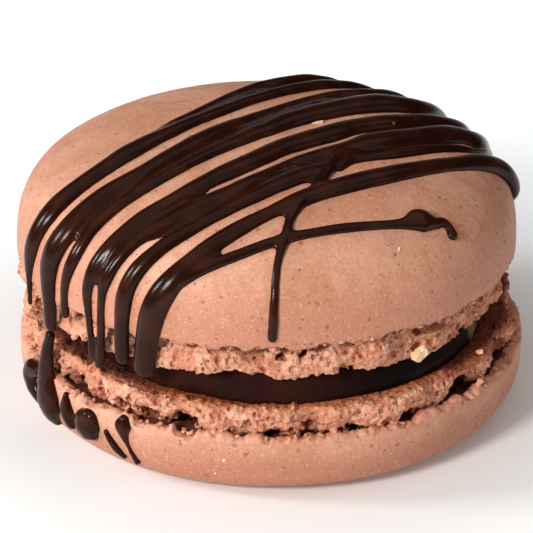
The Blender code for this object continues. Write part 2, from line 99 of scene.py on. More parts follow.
class Wire:
    """One value of a shader tree, on which plain Python arithmetic adds Math nodes."""

    def __init__(self, paint: "Paint", socket: bpy.types.NodeSocket) -> None:
        """Wrap an output socket of the tree that paint fills."""
        self.paint = paint
        self.socket = socket

    def beside(self, name: str) -> "Wire":
        """Another output of the node that this value comes from."""
        return Wire(self.paint, self.socket.node.outputs[name])

    def _math(self, operation: str, *values: "Value") -> "Wire":
        """A Math node with these values in its sockets."""
        return self.paint.node("ShaderNodeMath", {"operation": operation}, dict(enumerate(values)))

    def __add__(self, other: "Value") -> "Wire":
        """The sum of this value and another."""
        return self._math("ADD", self, other)

    def __radd__(self, other: "Value") -> "Wire":
        """The sum of another value and this one."""
        return self._math("ADD", other, self)

    def __sub__(self, other: "Value") -> "Wire":
        """This value less another."""
        return self._math("SUBTRACT", self, other)

    def __rsub__(self, other: "Value") -> "Wire":
        """Another value less this one."""
        return self._math("SUBTRACT", other, self)

    def __mul__(self, other: "Value") -> "Wire":
        """The product of this value and another."""
        return self._math("MULTIPLY", self, other)

    def __rmul__(self, other: "Value") -> "Wire":
        """The product of another value and this one."""
        return self._math("MULTIPLY", other, self)

    def __truediv__(self, other: "Value") -> "Wire":
        """This value divided by another."""
        return self._math("DIVIDE", self, other)

    def __rtruediv__(self, other: "Value") -> "Wire":
        """Another value divided by this one."""
        return self._math("DIVIDE", other, self)

    def above(self, level: "Value") -> "Wire":
        """One where this value is over a level, and else zero."""
        return self._math("GREATER_THAN", self, level)

    def root(self) -> "Wire":
        """The square root of this value."""
        return self._math("SQRT", self)

    def share(self, low: "Value", high: "Value") -> "Wire":
        """How far this value has gone from one level to another.

        Args:
            low: The level that gives 0. It may be the higher of the two.
            high: The level that gives 1.

        Returns:
            The share, eased and held between 0 and 1.
        """
        way = {"interpolation_type": "SMOOTHSTEP"}
        return self.paint.node("ShaderNodeMapRange", way, {"Value": self, "From Min": low, "From Max": high})


Value = Union[Wire, float]


class Paint:
    """A material in the making: its shader tree and the patterns that fill it."""

    def __init__(self, name: str) -> None:
        """Start a material of this name with a Principled shader."""
        self.material = bpy.data.materials.new(name)
        self.material.use_nodes = True
        self.tree = self.material.node_tree
        self.shader = next(node for node in self.tree.nodes if node.type == "BSDF_PRINCIPLED")
        self.place = self.node("ShaderNodeTexCoord").beside("Object")

    def node(
        self,
        kind: str,
        settings: Optional[dict] = None,
        values: Optional[dict] = None,
        output: Union[int, str] = 0,
    ) -> Wire:
        """Add one node to the tree.

        Args:
            kind: The node's type.
            settings: Its settings, by name.
            values: What goes into its sockets, by name or number. A Wire is linked.
            output: The output that is wanted.

        Returns:
            That output.
        """
        made = self.tree.nodes.new(kind)
        for name, value in (settings or {}).items():
            setattr(made, name, value)
        for name, value in (values or {}).items():
            self.feed(made.inputs[name], value)
        return Wire(self, made.outputs[output])

    def feed(self, socket: bpy.types.NodeSocket, value: Union[Value, Colour]) -> None:
        """Link a Wire to a socket, or set the socket to a plain value."""
        if isinstance(value, Wire):
            self.tree.links.new(value.socket, socket)
        else:
            socket.default_value = value

    def vectors(self, operation: str, values: dict, output: str = "Vector") -> Wire:
        """One step of arithmetic on vectors."""
        return self.node("ShaderNodeVectorMath", {"operation": operation}, values, output)

    def moved_place(self, shift: float) -> Wire:
        """The object's coordinates, moved so that a pattern differs from its like."""
        return self.vectors("ADD", {0: self.place, 1: (shift, shift * 0.7, shift * 1.3)})

    def noise(self, size: float, detail: float = 2.0, shift: float = 0.0, rough: float = 0.5) -> Wire:
        """Soft noise whose patches are about size across, around 0.5."""
        values = {"Vector": self.moved_place(shift), "Scale": 1 / size, "Detail": detail, "Roughness": rough}
        return self.node("ShaderNodeTexNoise", None, values)

    def bent_place(self, shift: float, size: float, reach: float) -> Wire:
        """The moved coordinates, pushed about so that a pattern has no straight lines."""
        swirl = self.noise(size, 2.0, shift + 3.0).beside("Color")
        centred = self.vectors("SUBTRACT", {0: swirl, 1: (0.5, 0.5, 0.5)})
        push = self.vectors("SCALE", {0: centred, "Scale": reach})
        return self.vectors("ADD", {0: self.moved_place(shift), 1: push})

    def cells(self, size: float, shift: float = 0.0) -> Wire:
        """The distance to the middle of a random cell, in cells of about size across."""
        values = {"Vector": self.moved_place(shift), "Scale": 1 / size}
        return self.node("ShaderNodeTexVoronoi", {"feature": "F1"}, values, "Distance")

    def creases(self, size: float, width: float, shift: float) -> Wire:
        """Where lumps of about size across meet: 1 in the creases, fading out over their width."""
        values = {"Vector": self.bent_place(shift, 0.8 * size, 1.3 * size), "Scale": 1 / size}
        edge = self.node("ShaderNodeTexVoronoi", {"feature": "DISTANCE_TO_EDGE"}, values, "Distance")
        return edge.share(width / size, 0.0)

    def mix(self, share: Value, first: Union[Wire, Colour], second: Union[Wire, Colour]) -> Wire:
        """The first colour, with a share of the second."""
        return self.node("ShaderNodeMix", {"data_type": "RGBA"}, {0: share, 6: first, 7: second}, 2)

    def axis(self, name: str) -> Wire:
        """One coordinate of the object: X, Y or Z."""
        return self.node("ShaderNodeSeparateXYZ", None, {0: self.place}).beside(name)

    def from_axis(self, shift: float) -> Wire:
        """The distance from an upright axis that stands shift to the right of the middle."""
        right, back = self.axis("X") - shift, self.axis("Y")
        return (right * right + back * back).root()

    def finish(self, colour: Wire, roughness: Value, relief: Wire, specular: float) -> bpy.types.Material:
        """Feed the shader.

        Args:
            colour: The base colour.
            roughness: The roughness.
            relief: The height of the fine relief in millimetres.
            specular: The strength of the reflections.

        Returns:
            The material.
        """
        bump = self.node("ShaderNodeBump", None, {"Strength": 1.0, "Distance": MM, "Height": relief})
        fed = {"Base Color": colour, "Roughness": roughness, "Specular IOR Level": specular, "Normal": bump}
        for name, value in fed.items():
            self.feed(self.shader.inputs[name], value)
        return self.material


@dataclass(frozen=True)
class Specks:
    """Scattered flecks or pinholes, one at most in each cell of a random pattern."""

    spacing: float
    share: float
    radius: float
    strength: float
    shift: float
    softness: float = 0.45

    def mask(self, paint: Paint) -> Wire:
        """Where the flecks lie, up to the strength in their middles."""
        cell = paint.cells(self.spacing, self.shift)
        luck = paint.node("ShaderNodeSeparateColor", None, {0: cell.beside("Color")})
        frayed = cell + 0.35 * self.radius / self.spacing * (paint.noise(self.radius, 2.0, self.shift) - 0.5)
        reach = self.radius / self.spacing * (0.4 + 0.8 * luck.beside("Green"))
        inside = frayed.share(reach, (1 - self.softness) * reach) * luck.beside("Red").above(1 - self.share)
        return inside * (0.5 + 0.5 * luck.beside("Blue")) * self.strength


@dataclass(frozen=True)
class ShellFinish:
    """The smooth matte skin of an almond shell, with flecks of almond skin and pinholes.

    Inside a radius and past a height, where the skirt is torn open, it is painted as dark as the shaded crumb
    behind it, a painted shade in the torn cavity.
    Towards the rim it is painted a little darker, a painted shade on the shell's lower part.
    """

    name: str
    axis_shift: float
    inner_radius: float
    inner_from: float
    inner_to: float
    low_shade_from: float
    low_shade_to: float
    low_shade: float
    pale: Colour = display_colour(221, 161, 131)
    deep: Colour = display_colour(206, 141, 109)
    warm: Colour = display_colour(186, 116, 86)
    fleck: Colour = display_colour(120, 42, 24)
    inner: Colour = display_colour(104, 46, 30)
    crumb: Colour = display_colour(240, 192, 166)
    roughness: float = 0.55
    specular: float = 0.85
    smudges: Specks = Specks(1.7 * MM, 0.5, 0.5 * MM, 0.4, 1.3)
    flecks: tuple[Specks, ...] = (
        Specks(1.2 * MM, 0.42, 0.26 * MM, 0.65, 2.0),
        Specks(0.75 * MM, 0.5, 0.16 * MM, 0.75, 3.1),
        Specks(0.5 * MM, 0.5, 0.1 * MM, 0.75, 4.7),
    )
    pinholes: Specks = Specks(0.8 * MM, 0.4, 0.11 * MM, 1.0, 5.9)

    def material(self) -> bpy.types.Material:
        """Make the material."""
        paint = Paint(self.name)
        clouds = paint.noise(7.5 * MM, 2.0, 0.3).share(0.36, 0.66)
        mottling = paint.noise(1.7 * MM, 3.0, 0.7).share(0.4, 0.72)
        grain = paint.noise(0.26 * MM, 3.0, 1.1, 0.6)
        colour = paint.mix(clouds, self.deep, self.pale)
        colour = paint.mix(mottling * 0.35, colour, self.warm)
        # Painted shade: the lower part of the shell, towards the rim, is painted darker.
        low_shade_share = paint.axis("Z").share(self.low_shade_from, self.low_shade_to)
        colour = paint.mix(low_shade_share * self.low_shade, colour, self.warm)
        colour = paint.mix(grain.share(0.52, 0.74) * 0.5, colour, self.crumb)
        colour = paint.mix(grain.share(0.48, 0.28) * 0.55, colour, self.warm)
        colour = paint.mix(self.smudges.mask(paint), colour, self.warm)
        for specks in self.flecks:
            colour = paint.mix(specks.mask(paint), colour, self.fleck)
        pits = self.pinholes.mask(paint)
        # Painted shade: the pinholes are painted dark in the fleck colour, as well as pressed in by the
        # relief.
        colour = paint.mix(pits * 0.7, colour, self.fleck)
        # Painted shade: the cut faces inside the torn skirt are painted dark red-brown.
        torn = ((self.inner_radius - paint.from_axis(self.axis_shift)) / MM).share(0.0, 0.4)
        colour = paint.mix(torn * paint.axis("Z").share(self.inner_from, self.inner_to), colour, self.inner)
        relief = grain * 0.03 + paint.noise(1.1 * MM, 3.0, 6.3) * 0.04 - pits * 0.06
        rough = self.roughness + 0.14 * paint.noise(0.8 * MM, 2.0, 8.0)
        return paint.finish(colour, rough, relief, self.specular)


@dataclass(frozen=True)
class SpongeFinish:
    """The open crumb of a foot, soaked near the filling, with a painted highlight on its lumps and painted
    shade, red-brown to near black, in its hollows, creases, pits and the way in under the skirt.

    The soaked part lies past a height and inside a radius, and it spreads further on the right, where it is
    also darker, partly real stain and partly painted shade.
    """

    name: str
    axis_shift: float
    skin_radius: float
    soaked_from: float
    soaked_to: float
    soaked_radius: float
    spread: float
    pale: Colour = display_colour(240, 181, 151)
    tan: Colour = display_colour(223, 153, 121)
    cream: Colour = display_colour(246, 206, 176)
    hollow_shade: Colour = display_colour(160, 78, 50)
    deep: Colour = display_colour(70, 24, 14)
    pit_shade: Colour = display_colour(112, 42, 26)
    stain: Colour = display_colour(180, 96, 50)
    gold: Colour = display_colour(244, 198, 124)
    soaked: Colour = display_colour(118, 56, 30)
    roughness: float = 0.78
    specular: float = 0.4
    pits: Specks = Specks(0.6 * MM, 0.5, 0.2 * MM, 1.0, 9.1)
    pinholes: Specks = Specks(0.33 * MM, 0.5, 0.1 * MM, 1.0, 12.7)
    burst_bubbles: Specks = Specks(1.2 * MM, 0.6, 0.3 * MM, 1.0, 15.3)

    def crumb_colour(self, paint: Paint, crumb: Wire, crease_shade: Wire) -> Wire:
        """The colour of the dry crumb, with a painted highlight on its lumps and painted shade in its
        hollows.
        """
        colour = paint.mix(paint.noise(2.2 * MM, 3.0, 0.9).share(0.38, 0.64), self.tan, self.pale)
        colour = paint.mix(paint.noise(1.1 * MM, 2.0, 4.4).share(0.6, 0.76) * 0.5, colour, self.cream)
        # Painted highlight: the tops of the crumb's bumps are painted cream.
        colour = paint.mix(crumb.share(0.56, 0.74) * 0.55, colour, self.cream)
        # Painted shade: the low places of the crumb are painted red-brown.
        colour = paint.mix(crumb.share(0.5, 0.28) * 0.7, colour, self.hollow_shade)
        # Painted shade: further in from the skin, under the skirt and into the torn cavities, the crumb is
        # painted red-brown and then near black.
        inwards = (self.skin_radius - paint.from_axis(self.axis_shift)) / MM + crumb * 0.6 - 0.3
        colour = paint.mix(inwards.share(0.6, 1.4) * 0.6, colour, self.hollow_shade)
        colour = paint.mix(inwards.share(1.3, 2.2), colour, self.deep)
        return paint.mix(crease_shade, colour, self.hollow_shade)

    def material(self) -> bpy.types.Material:
        """Make the material."""
        paint = Paint(self.name)
        crumb = paint.noise(0.42 * MM, 4.0, 2.4, 0.6)
        creases = paint.creases(0.8 * MM, 0.24 * MM, 3.3) * paint.noise(1.6 * MM, 2.0, 5.1).share(0.42, 0.6)
        pits, pinholes = self.pits.mask(paint), self.pinholes.mask(paint)
        burst = self.burst_bubbles.mask(paint)
        right = paint.axis("X").share(12 * MM, 18 * MM)
        left = paint.axis("X").share(-8 * MM, -13 * MM)
        middle = (1.0 - left) * (1.0 - paint.axis("X").share(7 * MM, 12 * MM))
        level = paint.axis("Z") + (paint.noise(1.3 * MM, 3.0, 7.7) - 0.5) * 0.8 * MM + right * self.spread
        wet = level.share(self.soaked_from, self.soaked_to)
        inside = (self.soaked_radius - paint.from_axis(self.axis_shift)) / MM + (crumb - 0.5) * 1.1
        inside = inside + right * 0.5 - left * 0.9
        golden = paint.noise(0.4 * MM, 3.0, 11.0).share(0.55, 0.66) * middle
        # On the right the stain turns red-brown: partly real stain, partly painted shade.
        streaks = paint.mix(golden * 0.8, paint.mix(right, self.stain, self.hollow_shade), self.gold)
        # Painted shade: the creases between the lumps are painted red-brown as well as pressed in by the
        # relief.
        colour = self.crumb_colour(paint, crumb, creases * 0.4)
        colour = paint.mix(wet * inside.share(-0.6, 0.5) * 0.85, colour, streaks)
        colour = paint.mix(wet * inside.share(0.5, 1.5) * 0.85, colour, self.soaked)
        # Painted shade: on the left the soaked face is painted near black, for the dark gap between the feet
        # there.
        colour = paint.mix(wet * left * inside.share(-0.1, 0.5) * 0.95, colour, self.deep)
        # Painted shade: pits, pinholes and burst bubbles are painted dark red-brown to near black, as well as
        # pressed in by the relief.
        colour = paint.mix(pits * 0.8, colour, self.pit_shade)
        colour = paint.mix(pinholes * 0.5, colour, self.hollow_shade)
        colour = paint.mix(burst * 0.8, colour, self.deep)
        relief = crumb * 0.2 + paint.noise(0.16 * MM, 2.0, 5.5) * 0.06 - creases * 0.05
        relief = relief - pits * 0.14 - pinholes * 0.05 - burst * 0.25
        rough = self.roughness + 0.1 * crumb - 0.3 * wet * inside.share(-0.3, 1.0)
        return paint.finish(colour, rough, relief, self.specular)


@dataclass(frozen=True)
class ChocolateFinish:
    """Set dark chocolate with a satin surface."""

    name: str
    dark: Colour = display_colour(37, 14, 6)
    brown: Colour = display_colour(53, 22, 11)
    roughness: float = 0.13
    specular: float = 0.15

    def material(self) -> bpy.types.Material:
        """Make the material."""
        paint = Paint(self.name)
        clouds = paint.noise(2.4 * MM, 2.0, 0.4).share(0.35, 0.7)
        grain = paint.noise(0.22 * MM, 3.0, 1.9)
        colour = paint.mix(clouds, self.dark, self.brown)
        relief = grain * 0.001 + paint.noise(2.2 * MM, 1.0, 3.3) * 0.02
        rough = self.roughness + 0.1 * paint.noise(1.9 * MM, 2.0, 5.0) + 0.04 * grain
        return paint.finish(colour, rough, relief, self.specular)


@dataclass(frozen=True)
class GanacheFinish:
    """The soft dark filling, duller on its side and wet along its lower edge, painted darkest on the right as
    painted shade.
    """

    name: str
    wet_level: float
    dry_level: float
    smear_place: tuple[float, float, float]
    dark: Colour = display_colour(38, 14, 9)
    brown: Colour = display_colour(64, 28, 18)
    smear: Colour = display_colour(128, 104, 66)
    right_shade: Colour = display_colour(12, 5, 4)
    roughness: float = 0.3
    specular: float = 0.06

    def material(self) -> bpy.types.Material:
        """Make the material."""
        paint = Paint(self.name)
        clouds = paint.noise(5 * MM, 3.0, 0.8).share(0.34, 0.7)
        grain = paint.noise(0.28 * MM, 4.0, 2.2)
        height = paint.axis("Z") + (paint.noise(1.5 * MM, 2.0, 4.1) - 0.5) * 0.35 * MM
        dry = height.share(self.wet_level, self.dry_level)
        colour = paint.mix(clouds * 0.45, self.dark, self.brown)
        # Painted shade: towards the right the filling is painted nearly black.
        colour = paint.mix(paint.axis("X").share(2 * MM, 10 * MM) * 0.9, colour, self.right_shade)
        away = paint.vectors("DISTANCE", {0: paint.place, 1: self.smear_place}, "Value")
        smeared = (away + (paint.noise(0.8 * MM, 3.0, 9.4) - 0.5) * 1.6 * MM).share(1.5 * MM, 0.5 * MM)
        colour = paint.mix(smeared * 0.8, colour, self.smear)
        relief = grain * (0.01 + 0.03 * dry) + paint.noise(1.0 * MM, 2.0, 6.6) * 0.05
        return paint.finish(colour, self.roughness + 0.3 * dry + 0.1 * grain, relief, self.specular)


@dataclass(frozen=True)
class CrumbFinish:
    """A crumb of ground almond."""

    name: str
    pale: Colour
    dark: Colour
    roughness: float = 0.7
    specular: float = 0.5

    def material(self) -> bpy.types.Material:
        """Make the material."""
        paint = Paint(self.name)
        grain = paint.noise(0.3 * MM, 3.0, 1.4)
        colour = paint.mix(grain.share(0.35, 0.65), self.dark, self.pale)
        return paint.finish(colour, self.roughness + 0.1 * grain, grain * 0.05, self.specular)


@dataclass(frozen=True)
class PaperFinish:
    """The pale matte sheet that the macaron rests on, with painted light: it glows faintly all over and more
    in a ring round the macaron.
    """

    name: str = "studio_paper"
    white: Colour = (0.84, 0.84, 0.84, 1.0)
    shade: Colour = (0.82, 0.82, 0.82, 1.0)
    plain_glow: Colour = (0.1, 0.1, 0.1, 1.0)
    ring_glow: Colour = (0.45, 0.45, 0.45, 1.0)
    ring: tuple[float, float, float, float] = (23 * MM, 52 * MM, 100 * MM, 160 * MM)
    roughness: float = 0.9
    specular: float = 0.1

    def material(self) -> bpy.types.Material:
        """Make the material."""
        paint = Paint(self.name)
        grain = paint.noise(6 * MM, 3.0, 0.2)
        colour = paint.mix(grain, self.shade, self.white)
        away = paint.from_axis(0.0)
        lit = away.share(self.ring[0], self.ring[1]) * away.share(self.ring[3], self.ring[2])
        # Painted light: the paper glows, faintly all over and more in a ring further out from the macaron.
        paint.feed(paint.shader.inputs["Emission Color"], paint.mix(lit, self.plain_glow, self.ring_glow))
        paint.feed(paint.shader.inputs["Emission Strength"], 1.0)
        return paint.finish(colour, self.roughness + 0.05 * grain, grain * 0.01, self.specular)


# Modelling


class Bench:
    """The modelling bench: primitives, edit mode tools and modifiers that are applied at once."""

    @staticmethod
    def pick(*objects: bpy.types.Object) -> None:
        """Select these objects only, with the last of them active."""
        if bpy.context.mode != "OBJECT":
            bpy.ops.object.mode_set(mode="OBJECT")
        bpy.ops.object.select_all(action="DESELECT")
        for obj in objects:
            obj.select_set(True)
            bpy.context.view_layer.objects.active = obj

    @staticmethod
    def name_new(name: str) -> bpy.types.Object:
        """Name the object that was just added."""
        made = bpy.context.active_object
        made.name = made.data.name = name
        return made

    @staticmethod
    @contextmanager
    def editing() -> Iterator[None]:
        """Edit mode with the whole mesh selected, and object mode again after it."""
        bpy.ops.object.mode_set(mode="EDIT")
        bpy.ops.mesh.select_all(action="SELECT")
        yield
        bpy.ops.object.mode_set(mode="OBJECT")

    @staticmethod
    def close_up() -> None:
        """In edit mode, merge the points that meet and turn every face outwards."""
        bpy.ops.mesh.select_all(action="SELECT")
        bpy.ops.mesh.remove_doubles(threshold=WELD)
        bpy.ops.mesh.normals_make_consistent(inside=False)

    @staticmethod
    def lathe(name: str, profile: Profile, segments: int) -> bpy.types.Object:
        """Turn a profile about the upright axis.

        Args:
            name: The new object's name.
            profile: Points (distance from the axis, height). They end where they start or on the axis.
            segments: How many facets go round.

        Returns:
            The closed body, its faces outwards.
        """
        Bench.pick()
        bpy.ops.mesh.primitive_plane_add(size=MM)
        made = Bench.name_new(name)
        with Bench.editing():
            bpy.ops.mesh.merge(type="CENTER")
            bpy.ops.transform.translate(value=(profile[0][0], 0, profile[0][1]))
            for (near, low), (far, high) in zip(profile, profile[1:]):
                step = (far - near, 0, high - low)
                bpy.ops.mesh.extrude_region_move(TRANSFORM_OT_translate={"value": step})
            bpy.ops.mesh.select_all(action="SELECT")
            bpy.ops.mesh.spin(steps=segments, angle=TURN, center=(0, 0, 0), axis=(0, 0, 1))
            Bench.close_up()
        return made

    @staticmethod
    def places(obj: bpy.types.Object) -> np.ndarray:
        """All the points of a mesh, as rows."""
        places = np.empty(len(obj.data.vertices) * 3, np.float32)
        obj.data.vertices.foreach_get("co", places)
        return places.reshape(-1, 3).astype(np.float64)

    @staticmethod
    def reshape(obj: bpy.types.Object, change: Callable[[np.ndarray], np.ndarray]) -> None:
        """Move every point of a mesh to where change puts it, given all the points as rows."""
        new = change(Bench.places(obj))
        obj.data.vertices.foreach_set("co", new.astype(np.float32).ravel())
        obj.data.update()

    @staticmethod
    def modify(obj: bpy.types.Object, kind: str, **settings: object) -> None:
        """Add one modifier with these settings to an object and apply it."""
        Bench.pick(obj)
        bpy.ops.object.modifier_add(type=kind)
        modifier = obj.modifiers[-1]
        for name, value in settings.items():
            setattr(modifier, name, value)
        bpy.ops.object.modifier_apply(modifier=modifier.name)

    @staticmethod
    def gather(obj: bpy.types.Object, name: str, weigh: Callable[[np.ndarray], np.ndarray]) -> None:
        """Group an object's points under a name, with the weights that weigh gives them, from 0 to 1."""
        weights = weigh(Bench.places(obj))
        group = obj.vertex_groups.new(name=name)
        for step in range(1, WEIGHT_STEPS + 1):
            level = step / WEIGHT_STEPS
            near = np.flatnonzero(np.abs(weights - level) <= 0.5 / WEIGHT_STEPS)
            group.add(near.tolist(), level, "REPLACE")

    @staticmethod
    def roughen(
        obj: bpy.types.Object, pattern: Pattern, size: float, reach: float, depth: int = 2, group: str = ""
    ) -> None:
        """Push a surface in and out by a pattern.

        Args:
            obj: The object.
            pattern: The pattern.
            size: How large the pattern's patches are.
            reach: How far apart its lowest and highest places come to lie.
            depth: How many finer steps the soft noise has.
            group: The group of points that it is held to, or all of them.
        """
        texture = bpy.data.textures.new(f"{obj.name}_{pattern.name.lower()}", type=pattern.value)
        texture.noise_scale = size
        if pattern is Pattern.CLOUDS:
            texture.noise_depth = depth
        else:
            texture.weight_1, texture.weight_2 = -1.0, 1.0
        settings = {"texture": texture, "texture_coords": "LOCAL", "vertex_group": group}
        Bench.modify(obj, "DISPLACE", strength=reach, mid_level=0.5, **settings)

    @staticmethod
    def join(name: str, objects: Sequence[bpy.types.Object]) -> bpy.types.Object:
        """Make one object of several, under a new name."""
        Bench.pick(*objects)
        bpy.ops.object.join()
        return Bench.name_new(name)

    @staticmethod
    def copies(source: bpy.types.Object, places: Sequence[Matrix]) -> list[bpy.types.Object]:
        """Copy an object to each of these places, each copy with its own mesh, and drop the source."""
        made = []
        for place in places:
            copy = source.copy()
            copy.data = source.data.copy()
            copy.data.transform(place)
            bpy.context.scene.collection.objects.link(copy)
            made.append(copy)
        bpy.data.objects.remove(source, do_unlink=True)
        return made

    @staticmethod
    def carve(body: bpy.types.Object, pieces: Sequence[bpy.types.Object], carving: Carving) -> None:
        """Add pieces to a body or take them out of it, and remove them.

        Args:
            body: The object that is changed.
            pieces: The closed pieces.
            carving: Whether they are added or taken out.
        """
        group = bpy.data.collections.new(body.name + "_pieces")
        bpy.context.scene.collection.children.link(group)
        for piece in pieces:
            bpy.context.scene.collection.objects.unlink(piece)
            group.objects.link(piece)
        settings = {"operand_type": "COLLECTION", "collection": group, "solver": "MANIFOLD"}
        Bench.modify(body, "BOOLEAN", operation=carving.value, **settings)
        for piece in pieces:
            bpy.data.objects.remove(piece, do_unlink=True)
        bpy.data.collections.remove(group)

    @staticmethod
    def melt(obj: bpy.types.Object, grid: float, softness: float, passes: int) -> None:
        """Make one even skin of all that an object holds, and smooth it.

        Args:
            obj: The object.
            grid: The size of the new faces.
            softness: How far a point moves towards its neighbours in each pass.
            passes: How many passes there are.
        """
        Bench.modify(obj, "REMESH", mode="VOXEL", voxel_size=grid, adaptivity=0.0)
        Bench.modify(obj, "SMOOTH", factor=softness, iterations=passes)

    @staticmethod
    def thin_out(obj: bpy.types.Object, most: int) -> None:
        """Join faces where a surface is plain, until an object has no more than most triangles."""
        obj.data.calc_loop_triangles()
        count = len(obj.data.loop_triangles)
        if count > most:
            Bench.modify(obj, "DECIMATE", ratio=most / count)

    @staticmethod
    def set_in_place(obj: bpy.types.Object, place: Vector, turn: Euler) -> None:
        """Move and turn an object, then make that its shape, so that its origin stays in the middle."""
        obj.location, obj.rotation_euler = place, turn
        Bench.pick(obj)
        bpy.ops.object.transform_apply(location=True, rotation=True, scale=True)

    @staticmethod
    def hand_over(obj: bpy.types.Object, material: bpy.types.Material, node: Node) -> bpy.types.Object:
        """Give a finished piece its material and its solid, and report it."""
        Bench.pick(obj)
        bpy.ops.object.shade_smooth()
        obj.data.materials.clear()
        obj.data.materials.append(material)
        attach(obj, BODY)
        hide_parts(node.value)
        obj.data.calc_loop_triangles()
        log.info("%s: %d triangles", obj.name, len(obj.data.loop_triangles))
        return obj


def eased(values: np.ndarray, low: float, high: float) -> np.ndarray:
    """How far values have gone from low to high, eased and held between 0 and 1."""
    share = np.clip((values - low) / (high - low), 0, 1)
    return share * share * (3 - 2 * share)


def polar(points: np.ndarray) -> tuple[np.ndarray, np.ndarray]:
    """The distance of each point from the upright axis, and its bearing."""
    return np.hypot(points[:, 0], points[:, 1]), np.arctan2(points[:, 1], points[:, 0])


def pushed(points: np.ndarray, push: np.ndarray, lift: np.ndarray) -> np.ndarray:
    """The points pushed away from the upright axis and lifted."""
    distance, _ = polar(points)
    scale = (distance + push) / np.maximum(distance, WELD)
    return np.column_stack([points[:, 0] * scale, points[:, 1] * scale, points[:, 2] + lift])


def facing(bearing: np.ndarray) -> np.ndarray:
    """The level directions that point outwards at each bearing, as rows."""
    return np.column_stack([np.cos(bearing), np.sin(bearing), np.zeros_like(bearing)])


def turned_away(bearing: np.ndarray, centre: float) -> np.ndarray:
    """How far bearings lie from a centre, in radians, the short way round."""
    return (bearing - centre + math.pi) % TURN - math.pi


def nearness(bearing: np.ndarray, centre: float, spread: float) -> np.ndarray:
    """1 at a centre, falling off to both sides of it."""
    return np.exp(-(turned_away(bearing, centre) ** 2) / spread)


@dataclass(frozen=True)
class Wobble:
    """The slow unevenness of a shell that is not quite round."""

    phase: float
    reach: float = 0.11 * MM

    def at(self, bearing: np.ndarray) -> np.ndarray:
        """The change of radius at each bearing."""
        waves = np.sin(2 * bearing + self.phase) + 0.6 * np.sin(3 * bearing + 2.1 * self.phase)
        return self.reach * (waves + 0.4 * np.sin(7 * bearing + 1.3 * self.phase))


@dataclass(frozen=True)
class Fraying:
    """The ragged line of a skirt's free edge: seeded ripples, and nicks where the foot tore away.

    A nick is (bearing in degrees, width in mm, depth in mm).
    """

    seed: int
    radius: float
    nicks: Places
    reach: float = 0.06 * MM
    slowest: int = 13
    fastest: int = 190
    ripples: int = 42

    def at(self, bearing: np.ndarray) -> np.ndarray:
        """How far the edge is drawn back towards the shell at each bearing."""
        draw = random.Random(self.seed)
        total = np.zeros_like(bearing)
        for _ in range(self.ripples):
            waves = int(self.slowest * (self.fastest / self.slowest) ** draw.random())
            swing = self.reach * draw.uniform(0.3, 1.0) * (self.slowest / waves) ** 0.45
            total += swing * np.sin(waves * bearing + draw.uniform(0, TURN))
        for centre, width, height in self.nicks:
            across = turned_away(bearing, math.radians(centre)) * self.radius / (width * MM)
            total += height * MM * np.exp(-(across**4))
        return total


# Shells


@dataclass(frozen=True)
class DomeSection:
    """The rounded section of the top shell over its rim plane."""

    radius: float = 22.5 * MM
    height: float = 10.26 * MM
    side_power: float = 2.69
    crown_power: float = 3.0
    crowding: float = 1.35

    def point(self, angle: float) -> tuple[float, float]:
        """(radius, height) from 0 at the rim to a quarter turn at the top."""
        across = abs(math.cos(angle)) ** (2 / self.side_power)
        up = abs(math.sin(angle)) ** (2 / self.crown_power)
        return self.radius * across, self.height * up

    def rows(self, count: int) -> list[tuple[float, float]]:
        """Points from the top down to the rim."""
        angles = math.pi / 2 * (1 - np.linspace(0, 1, count)) ** self.crowding
        return [(0.0, self.height)] + [self.point(float(angle)) for angle in angles[1:]]


@dataclass(frozen=True)
class Stance:
    """Where the top shell sits on the filling: moved a little to the left and tilted back."""

    place: Vector
    turn: Euler

    def settle(self, obj: bpy.types.Object) -> None:
        """Put a piece that was built in the shell's own frame in its place."""
        Bench.set_in_place(obj, self.place, self.turn)


TOP_STANCE = Stance(Vector((-0.54 * MM, 0, 14.68 * MM)), Euler((math.radians(-1.8), 0, 0)))


